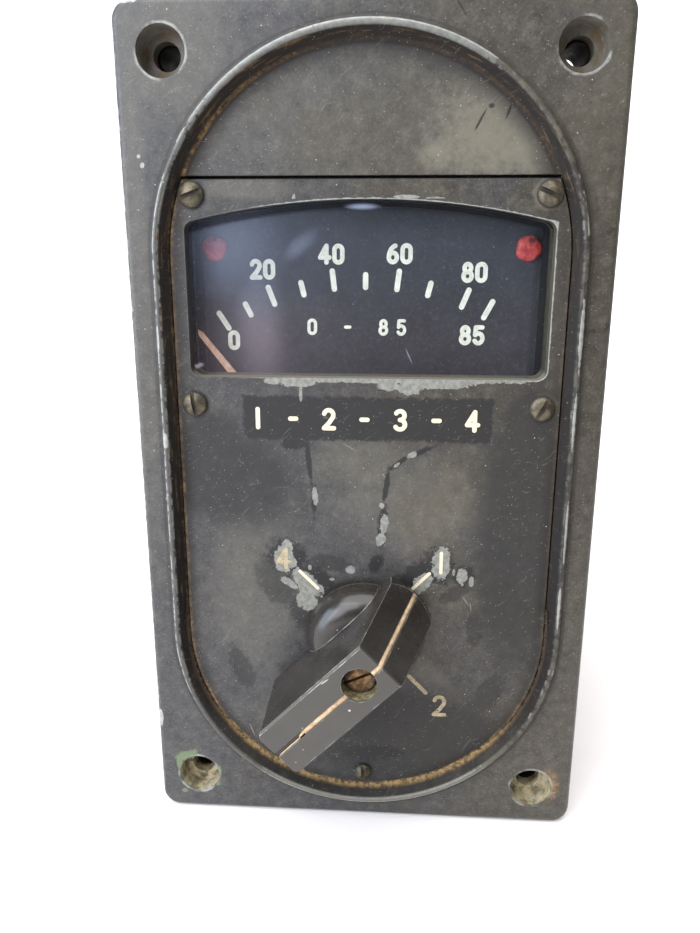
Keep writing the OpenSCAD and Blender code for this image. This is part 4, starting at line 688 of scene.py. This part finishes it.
def window_glazing():
    """Flat clear glass: a glowing dust layer with painted reflection and painted highlights, cut back under
    the window's edge as painted shade.
    """
    glass = Finish("window_glazing")
    # Painted reflections of the room, bluish on the left, and painted highlights at the top and at the lower
    # left corner.
    painted_reflection = glass.ovals([(-19.5, 24.0, 5.5, 17.0, 4), (-25.0, 37.0, 12.0, 11.0), (-12.0, 37.0, 5.0, 1.8, 40)])
    painted_glint = glass.ovals([(-1.1, 43.4, 3.7, 0.65), (-30.8, 15.9, 0.9, 0.6)]).rise(0.0, 1.0)
    # Thicker towards the left as painted reflection of the window light, thinner at the far left edge.
    film_and_reflection = painted_reflection.rise(-0.1, 0.9) * 0.1 + glass.u.rise(8.0, -28.0) * 0.045
    film_and_reflection = film_and_reflection * (glass.u.rise(-31.0, -25.0) * 0.8 + 0.2) + 0.006
    film_and_reflection = film_and_reflection + glass.noise(0.15, seed=31, detail=4) * 0.02 + glass.v.rise(30.0, 44.0) * 0.02
    film_and_reflection = film_and_reflection + glass.noise(1.8, seed=39, detail=4, roughness=0.7).rise(0.5, 0.76) * 0.08
    arch = glass.arch_distance()
    # Painted shade: the layer and the gloss are cut back under the arched top and at the right edge.
    open_field = arch.rise(-1.1, -1.8) * glass.u.rise(28.9, 28.2) * 0.76 + 0.24
    open_field = open_field * (1 - arch.rise(-7.5, 0.5) * glass.u.rise(-18.0, 4.0) * 0.6)
    film_and_reflection = film_and_reflection * open_field + painted_glint * 0.5 + glass.ovals([(7.4, 18.0, 0.12, 1.7, 25)]).rise(0.0, 0.5) * 0.3
    motes = glass.specks(0.5, 0.1, 0.16, seed=8) + glass.specks(0.3, 0.15, 0.1, seed=9)
    motes = motes + glass.specks(0.9, 0.12, 0.3, seed=11) * 0.5
    # The layer glows as painted light, tinted as painted reflection: bluish above, pinkish lower down.
    dust = glass.blend(glass.v.rise(34.0, 20.0), tone(176, 190, 224), tone(204, 190, 208))
    glass.show("Emission Color", dust)
    glass.show("Emission Strength", 0.85)
    glass.wear(glass.blend(0.9, dust, PAINT_DARK), 0.8)
    clear = glass.node("BsdfTransparent", {}, {"Color": (0.97, 0.98, 0.98, 1)})
    shine = glass.node("BsdfGlossy", {}, {"Color": (1, 1, 1, 1), "Roughness": 0.03})
    facing = glass.node("Fresnel", {}, {"IOR": 1.5})
    pane = glass.node("MixShader", {}, {0: facing * open_field * 0.5, 1: clear, 2: shine})
    dust_and_reflection = glass.node("MixShader", {}, {0: (film_and_reflection + motes * 0.5).low(0.8), 1: pane})
    glass.tree.links.new(glass.surface.outputs[0], dust_and_reflection.made.inputs[2])
    glass.feed(glass.end.inputs["Surface"], dust_and_reflection)
    return glass.material


def window_wall():
    """The rubber round the glass: black, paler below and greenish at the right, partly dust and partly
    painted light where light falls on it.
    """
    rubber = Finish("window_wall_dust_and_light")
    fray = rubber.noise(1.2, seed=35, detail=5, roughness=0.65)
    low = rubber.v.rise(window_low_v + 1.6, window_low_v + 0.5)
    right = rubber.u.rise(27.0, 30.8) * 0.8
    shade = rubber.blend(low, WALL_SIDE, WALL_LOW)
    shade = rubber.blend((low.high(right) + (fray - 0.5) * 0.8).rise(0.1, 0.8), tone(24, 24, 26), shade)
    return rubber.wear(shade, 0.7, 0.0, fray, 0.03)


FINISHES = {
    "frame_paint": frame_paint(),
    "plate_paint": plate_paint(),
    "case_paint": case_paint(),
    "dial_black": matt_black("dial_matt_black", tone(44, 46, 51), tone(53, 55, 61)),
    "mask_black": matt_black("mask_matt_black", tone(16, 17, 20), tone(24, 25, 29)),
    "seal_red": red_lacquer(),
    "screw_steel": blackened_steel(),
    "bright_steel": metal("steel_bright", tone(186, 186, 182), tone(120, 112, 98), 0.26),
    "alloy": metal("alloy_milled", tone(188, 190, 190), tone(150, 150, 146), 0.34, brush=(0.6, 0.6, 7)),
    "brass": metal("brass_aged", tone(196, 162, 92), tone(104, 78, 44), 0.3, spots=0.66),
    "copper_wire": metal("copper_wire", tone(190, 104, 60), tone(120, 60, 36), 0.35),
    "pointer_alloy": old_figures("pointer_enamel", tone(230, 172, 136), tone(250, 216, 190), 0.95, glow=0.17),
    "magnet": metal("magnet_alloy", tone(128, 128, 130), tone(88, 84, 80), 0.45),
    "glass": window_glazing(),
    "window_wall": window_wall(),
    "rubber": plastic("rubber_black", tone(30, 30, 30), tone(44, 43, 41), 0.68),
    "bakelite": plastic("moulding_black", tone(32, 29, 27), tone(44, 40, 36), 0.3),
    "phenolic": plastic("phenolic_board", tone(112, 74, 44), tone(136, 94, 58), 0.45),
    "wire": plastic("wire_covering", tone(206, 200, 184), tone(172, 164, 146), 0.6),
}
for node in nodes.values():
    for holder in node.material_slots:
        holder.material = FINISHES[holder.material.name.split(".")[0]]

nodes["mount_nuts"].material_slots[0].material = metal(
    "nut_brass_dark", tone(70, 58, 40), tone(26, 22, 18), 0.5, spots=0.5)
for wall_node in ("glass_gasket", "glass_retainer"):
    nodes[wall_node].material_slots[0].material = FINISHES["window_wall"]


# Pieces

def new_object(name, data):
    """An object of the scene round a mesh, a lamp or a camera."""
    made = bpy.data.objects.new(name, data)
    bpy.context.scene.collection.objects.link(made)
    return made


def smooth_object(name, shape, finishes):
    """An object round a mesh, smooth all over, with its finishes."""
    for finish in finishes:
        shape.materials.append(finish)
    for face in shape.polygons:
        face.use_smooth = True
    return new_object(name, shape)


def add_piece(name, shape, finishes, body):
    """Adds a mesh as a piece with its finishes, riding on a body."""
    piece = smooth_object(name, shape, finishes)
    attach(piece, body)
    return piece


def skin(mesh, rows, closed=False):
    """Faces between rows of corners, also from the last of a row to its first if closed."""
    for row, after in zip(rows, rows[1:]):
        for number in range(len(row) - (not closed)):
            ahead = (number + 1) % len(row)
            mesh.faces.new((row[number], row[ahead], after[ahead], after[number]))


def shape_of(mesh, name):
    """The shape of a piece from a mesh in the making."""
    bmesh.ops.recalc_face_normals(mesh, faces=mesh.faces)
    shape = bpy.data.meshes.new(name)
    mesh.to_mesh(shape)
    mesh.free()
    return shape


def softened(node, slot, width, finishes=None, segments=3, crease=30.0):
    """A CAD node's own shape with its sharp edges rounded, in place of the node.

    It keeps its slot's finish unless others are given; a second one goes on the rounded edges.
    """
    finishes = finishes or [FINISHES[slot]]
    mesh = bmesh.new()
    mesh.from_mesh(nodes[node].data)
    bmesh.ops.remove_doubles(mesh, verts=mesh.verts, dist=WELD)
    bmesh.ops.dissolve_limit(mesh, angle_limit=math.radians(0.4), verts=mesh.verts, edges=mesh.edges)
    mesh.verts.index_update()
    shape = bpy.data.meshes.new(node + "_finished")
    shape.from_pydata([corner.co[:] for corner in mesh.verts], [],
                      [[corner.index for corner in face.verts] for face in mesh.faces])
    mesh.free()
    piece = add_piece(node + "_finished", shape, finishes, nodes[node]["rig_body"])
    rounding = piece.modifiers.new("rounded edges", "BEVEL")
    rounding.width = width * MM
    rounding.segments = segments
    rounding.limit_method = "ANGLE"
    rounding.angle_limit = math.radians(crease)
    rounding.harden_normals = True
    rounding.use_clamp_overlap = True
    if len(finishes) > 1:
        rounding.material = 1
    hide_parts(node)


softened("front_frame", "frame_paint", 0.3)
softened("cover_plate", "plate_paint", 0.18)
softened("knob", "bakelite", 0.32, [knob_moulding(), knob_edge()], crease=24)
softened("cover_screws", "screw_steel", 0.12)
softened("knob_screw", "brass", 0.12, [sunk_screw()])
softened("dial_screws", "seal_red", 0.3)


def seal_blobs():
    """Lacquer dropped thick over the two dial screws, uneven round its edge."""
    low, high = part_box("dial_screws")
    radius = (high.z - low.z) / 2 / MM
    centre_v = (high.z + low.z) / 2 / MM
    head = -low.y / MM
    # Share of the screw's radius and height of each ring, from the dial to the crown
    profile = [(1.06, dial_face), (1.07, head - 0.3), (1.0, head - 0.02), (0.84, head + 0.12),
               (0.55, head + 0.2), (0.28, head + 0.17)]
    count = 40
    mesh = bmesh.new()
    for centre_u, phase in ((low.x / MM + radius, 0.4), (high.x / MM - radius, 2.1)):
        rows = []
        for ring, (share, height) in enumerate(profile):
            row = []
            for step in range(count):
                bend = math.tau * step / count
                wave = 1 + 0.035 * math.sin(3 * bend + phase) + 0.03 * math.sin(5 * bend - 2 * phase)
                reach = radius * share * wave
                dent = 0.07 * math.sin(2 * bend + phase) * (ring > 2)
                row.append(mesh.verts.new(place(centre_u + reach * math.cos(bend),
                                                centre_v + reach * math.sin(bend), height + dent)))
            rows.append(row)
        skin(mesh, rows, closed=True)
        mesh.faces.new(rows[-1])
    add_piece("seal_blobs", shape_of(mesh, "seal_blobs"), [FINISHES["seal_red"]], "case")


seal_blobs()
softened("case_shell", "case_paint", 0.25)
softened("rear_cover", "case_paint", 0.5)
softened("rear_cover_screws", "screw_steel", 0.15)
softened("connector_shell", "alloy", 0.12, segments=2)


# Figures, drawn as round-ended strokes one unit high

def arc(centre_u, centre_v, radius_u, radius_v, start, end, steps=14):
    """Points along part of an oval, its ends given in degrees."""
    return [(centre_u + radius_u * math.cos(math.radians(start + (end - start) * step / steps)),
             centre_v + radius_v * math.sin(math.radians(start + (end - start) * step / steps)))
            for step in range(steps + 1)]


def loop(centre_v, radius_u, radius_v):
    """A whole oval on a figure's middle line."""
    return arc(0.0, centre_v, radius_u, radius_v, 0, 360, 28)


FIGURES = {
    "0": [arc(0, 0.74, 0.25, 0.26, 0, 180) + arc(0, 0.26, 0.25, 0.26, 180, 360) + [(0.25, 0.74)]],
    "1": [[(0, 0), (0, 1)]],
    "2": [arc(0, 0.73, 0.25, 0.27, 165, -30) + [(0.02, 0.3), (-0.26, 0.0)], [(-0.26, 0), (0.28, 0)]],
    "3": [arc(-0.02, 0.76, 0.24, 0.24, 150, -90), arc(-0.02, 0.26, 0.27, 0.26, 90, -150)],
    "4": [[(0.1, 0), (0.1, 1)], [(0.1, 1), (-0.3, 0.3)], [(-0.3, 0.3), (0.28, 0.3)]],
    "5": [[(0.22, 1), (-0.18, 1)], [(-0.18, 1), (-0.22, 0.52)], arc(-0.01, 0.31, 0.26, 0.31, 136, -150)],
    "6": [loop(0.28, 0.25, 0.28), arc(0.27, 0.28, 0.52, 0.72, 180, 104)],
    "8": [loop(0.76, 0.2, 0.24), loop(0.27, 0.25, 0.27)],
    "-": [[(-0.16, 0.5), (0.16, 0.5)]],
}


def figures(text, centre_u, centre_v, height, pitch):
    """The strokes of a line of figures set about a centre."""
    strokes = []
    for order, figure in enumerate(text):
        shift = centre_u + (order - (len(text) - 1) / 2) * pitch
        for stroke in FIGURES.get(figure, []):
            strokes.append([(shift + u * height, centre_v + (v - 0.5) * height) for u, v in stroke])
    return strokes


def side(points, number, half, closed):
    """The sideways step from a stroke's middle to its edge at one of its points."""
    before, after = number - 1, (number + 1) % len(points)
    if not closed:
        before, after = max(number - 1, 0), min(number + 1, len(points) - 1)
    before, after = points[before], points[after]
    along = Vector((after[0] - before[0], after[1] - before[1])).normalized()
    return Vector((-along.y, along.x)) * half


def painted_strokes(name, strokes, width, face, lift, finish, body):
    """Thin raised strokes of paint on a flat face at w = face."""
    mesh = bmesh.new()
    half = width / 2
    for order, stroke in enumerate(strokes):
        top = face + lift + order % 7 * 0.002  # strokes that cross differ in height
        closed = math.dist(stroke[0], stroke[-1]) < 1e-6
        points = stroke[:-1] if closed else stroke
        sides = [side(points, number, half, closed) for number in range(len(points))]
        outer = [Vector(point) + step for point, step in zip(points, sides)]
        inner = [Vector(point) - step for point, step in zip(points, sides)]
        if closed:
            rings = [outer, inner]
        else:
            ends = []
            for tip, step in ((points[-1], sides[-1]), (points[0], -sides[0])):
                ends.append([Vector(tip) + Matrix.Rotation(-math.pi * part / 8, 2) @ step
                             for part in range(1, 8)])
            rings = [outer + ends[0] + inner[::-1] + ends[1]]
        walls = [[[mesh.verts.new(place(spot.x, spot.y, w)) for spot in ring]
                  for w in (top, face - stroke_root)] for ring in rings]
        for wall in walls:
            skin(mesh, wall, closed=True)
        if closed:
            skin(mesh, [walls[0][0], walls[1][0]], closed=True)
        else:
            mesh.faces.new(walls[0][0])
    piece = add_piece(name, shape_of(mesh, name), [finish], body)
    for polygon in piece.data.polygons:
        polygon.use_smooth = False


def dial_tick(angle, outer):
    """A mark of the scale, on a line through the pointer's axis."""
    ends = (tick_inner + tick_width / 2, outer - tick_width / 2)
    return [spoke(dial_pivot, 90 - angle, reach) for reach in ends]


SCALE_MAJOR = {"0": -33, "20": -21, "40": -7, "60": 7, "80": 22, "85": 27.5}
SCALE_MINOR = [-27, -14, 0, 14]
SCALE_FIGURES = {"0": (-25.3, 20.0), "20": (-19.6, 32.9), "40": (-6.9, 35.6),
                 "60": (5.4, 35.7), "80": (18.9, 32.5), "85": (18.9, 21.3)}
dial_white = old_figures("dial_white", tone(236, 238, 226), tone(214, 216, 200), 0.95, glow=0.25)
ticks = [dial_tick(angle, tick_major) for angle in SCALE_MAJOR.values()]
ticks += [dial_tick(angle, tick_minor) for angle in SCALE_MINOR]
scale_strokes = []
for text, (u, v) in SCALE_FIGURES.items():
    scale_strokes += figures(text, u, v, figure_height - figure_stroke, figure_pitch)
for name, strokes, width in (
        ("dial_ticks", ticks, tick_width),
        ("dial_figures", scale_strokes, figure_stroke),
        ("dial_range_figures", figures("0 - 85", -2.3, 22.6, 2.45, 3.3), 0.6)):
    painted_strokes(name, strokes, width, dial_face, dial_lift, dial_white, "case")

plate_cream = old_figures("plate_cream", CREAM, tone(224, 206, 172), 0.62)
old_cream = old_figures("plate_cream_old", OLD_CREAM, tone(140, 128, 98), 0.58)


def selector_tick(turn):
    """A mark on the plate from near the knob's skirt outwards."""
    return [spoke(knob_axis, turn, reach) for reach in selector_ticks]


worn_figures = (figures("4", -15.3, -19.8, 3.6, 3) + figures("2", 14.8, -49.9, 3.9, 3)
                + figures("3", -14.8, -49.9, 3.9, 3))
for name, strokes, width, paint in (
        ("plate_figures", figures("1 - 2 - 3 - 4", -0.3, 7.05, 3.3, 3.2), 0.8, plate_cream),
        ("selector_ticks_upper", [selector_tick(135), selector_tick(46)], 0.62, plate_cream),
        ("selector_tick_lower", [selector_tick(-46), selector_tick(226)], 0.8, old_cream),
        ("selector_figure_1", figures("1", 14.2, -19.9, 3.9, 3), 0.62, plate_cream),
        ("selector_figures_old", worn_figures, 0.75, old_cream)):
    painted_strokes(name, strokes, width, plate_front, plate_lift, paint, "case")


def knob_place(along, height):
    """A place on the knob's middle line, along it from the axis and above the plate's front."""
    return place(*spoke(knob_axis, knob_turn, along), height)


def index_line():
    """Cream paint in the knob's groove: over the nose, and from the recess to the tail."""
    across = place(*spoke((0, 0), knob_turn + 90, 1), 0)
    mesh = bmesh.new()
    nose_run = knob_nose - knob_ridge
    nose_drop = knob_top - knob_tip
    runs = [[(along, knob_top - line_sink) for along in (-recess_radius + 0.02, -7.5, -13.2, -14.6)],
            [(along, knob_top - line_sink) for along in (-13.4, -16.5, knob_tail + 0.4)],
            [(recess_radius - 0.02, knob_top - line_sink), (knob_ridge, knob_top - line_sink * 1.1)]
            + [(knob_ridge + nose_run * part / 6 - 0.05, knob_top - nose_drop * part / 6 - line_sink * 1.5)
               for part in range(1, 7)]]
    widths = [[1.0, 1.0, 1.0, 0.5], [0.3, 0.24, 0.2], [1.0] * 8]
    for run, shares in zip(runs, widths):
        rows = []
        for (along, height), share in zip(run, shares):
            rows.append([mesh.verts.new(knob_place(along, height) + across * line_width * step)
                         for step in (-0.5, share / 2 - 0.5, share - 0.5)])
        skin(mesh, rows)
    paint = old_figures("index_cream", tone(208, 184, 150), tone(172, 138, 102), 0.66)
    piece = add_piece("index_line", shape_of(mesh, "index_line"), [paint], "selector")
    thick = piece.modifiers.new("paint thickness", "SOLIDIFY")
    thick.thickness = line_thickness * MM


index_line()


def flake_sheet():
    """A skin just over the plate's front that carries the flaked places."""
    mesh = bmesh.new()
    for left, right, low, high in ((-25, 28, -31, window_low_v), (-15, 15, arch_top_v, arch_top_v + 1)):
        mesh.faces.new([mesh.verts.new(place(u, v, plate_front + flake_lift))
                        for u, v in ((left, low), (right, low), (right, high), (left, high))])
    add_piece("plate_flakes", shape_of(mesh, "plate_flakes"), [flaked_metal()], "case")


flake_sheet()


def packed_dirt():
    """Tan dirt packed in the corner between the cover plate and the rim."""
    finish = Finish("packed_dirt")
    clots = finish.noise(1.1, seed=36, detail=5, roughness=0.65)
    fine = finish.noise(4.0, seed=37)
    low = finish.v.rise(-48.0, -62.0)
    away = finish.spine_distance()
    tan = finish.blend(clots.rise(0.38, 0.6), tone(78, 64, 42), tone(138, 114, 74))
    # Darker where the dirt meets the rim: painted shade in that corner.
    shade = finish.layered(tone(58, 44, 28), (low, tan), (away.rise(34.0, 34.5) * 0.8, SHADE_AND_DIRT_DARK))
    thickness = clots + fine * 0.3 + low * 0.3 + (away - 33.75) * 0.6
    finish.show("Alpha", thickness.rise(0.72, 0.92))
    return finish.wear(shade, 0.85, 0.0, clots, 0.1)


def dirt_bead():
    """A thin fillet of dirt round the lower end of the bay, thickest at the bottom."""
    profile = [(33.3, plate_front + 0.02), (33.75, plate_front + 0.14), (34.1, plate_front + 0.3),
               (34.55, plate_front + 0.86)]
    mesh = bmesh.new()
    rows = []
    for step in range(-90, 91):
        rows.append([mesh.verts.new(place(*spoke((0, -rim_span / 2), step * 1.15 - 90, reach), height))
                     for reach, height in profile])
    skin(mesh, rows)
    add_piece("dirt_bead", shape_of(mesh, "dirt_bead"), [packed_dirt()], "case")


dirt_bead()


# Floor, lights and camera

def stage_piece(name, mesh, finish):
    """Adds a mesh that belongs to the room and not to the gauge."""
    piece = smooth_object(name, shape_of(mesh, name), [finish])
    return piece


def room_finish(name, colour, other, roughness, seed, detail):
    """A plain face of the room, hardly uneven."""
    plain = Finish(name)
    cloud = plain.noise(0.01, seed, detail)
    return plain.wear(plain.blend(cloud.rise(0.3, 0.7), colour, other), roughness)


def sweep():
    """A pale floor under the flange's lower edge and the case, that curves up far behind."""
    foot = place(0, -flange_half_v, 0)
    rest = Vector((0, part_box("rear_cover")[1].y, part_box("rear_cover")[0].z))
    along = (rest - foot).normalized()
    up = Vector((0, -along.z, along.y))
    radius = 0.9
    profile = [foot + along * reach for reach in (-2.5, -0.6, -0.1, 0.3, 1.1)]
    profile += [foot + along * (1.1 + radius * math.sin(bend)) + up * radius * (1 - math.cos(bend))
                for bend in [math.radians(9 * step) for step in range(1, 11)]]
    profile.append(profile[-1] + up * 1.5)
    mesh = bmesh.new()
    rows = [[mesh.verts.new(point + Vector((x, 0, 0))) for x in (-3, -1, 1, 3)] for point in profile]
    skin(mesh, rows)
    board = room_finish("pale_floor", tone(236, 233, 233), tone(244, 241, 240), 0.75, 40, 4)
    stage_piece("floor", mesh, board)


def dark_corner():
    """The unlit side of the room, behind and to the right of the camera."""
    mesh = bmesh.new()
    corners = [mesh.verts.new(spot) for spot in
               ((-0.14, -0.3, -0.06), (0.75, -0.25, -0.06), (0.75, -0.25, 0.2), (-0.14, -0.3, 0.1))]
    mesh.faces.new(corners)
    wall = room_finish("room_dark", tone(60, 52, 42), tone(72, 62, 50), 0.8, 41, 3)
    panel = stage_piece("room_dark", mesh, wall)
    panel.visible_camera = False


def soft_light(name, spot, aim, size, power, colour):
    """A soft box: its place and where it points in metres, its sides, power and colour."""
    lamp = bpy.data.lights.new(name, "AREA")
    lamp.shape = "RECTANGLE"
    lamp.size, lamp.size_y = size
    lamp.energy = power
    lamp.color = colour
    holder = new_object(name, lamp)
    holder.location = spot
    holder.rotation_euler = (Vector(aim) - Vector(spot)).to_track_quat("-Z", "Y").to_euler()


def camera():
    """The photograph's viewpoint, from the flange's corners, its holes and the rim."""
    eye = bpy.data.cameras.new("viewpoint")
    eye.lens = 29.59
    eye.clip_start = 0.01
    holder = new_object("viewpoint", eye)
    right = Vector((0.9979, 0.0647, 0.0029))
    up = Vector((-0.0194, 0.2564, 0.9664))
    back = right.cross(up)
    turn = Matrix((right, up, back)).transposed().to_4x4()
    holder.matrix_world = Matrix.Translation(Vector((5.74, -139.37, 34.16)) * MM) @ turn
    bpy.context.scene.camera = holder


sweep()
dark_corner()
camera()
soft_light("ceiling", (-0.15, -0.35, 1.1), (0, 0, 0), (1.4, 1.2), 22, (1.0, 0.985, 0.97))
soft_light("window_left", (-0.85, -0.42, 0.16), (0, 0, -0.03), (0.6, 0.6), 7, (0.72, 0.83, 1.0))
soft_light("window_front", (-0.55, -0.85, 0.5), (0, 0, 0), (0.8, 0.9), 13, (0.93, 0.95, 1.0))
soft_light("backdrop", (0.0, 0.9, 1.2), (0, 1.6, 0.2), (2.4, 1.0), 30, (1, 0.98, 0.98))
world = bpy.data.worlds.new("room")
world.use_nodes = True
sky = world.node_tree.nodes["Background"].inputs
sky["Color"].default_value = (0.92, 0.93, 0.96, 1)
sky["Strength"].default_value = 0.4
bpy.context.scene.world = world
bpy.context.scene.view_settings.view_transform = "Standard"
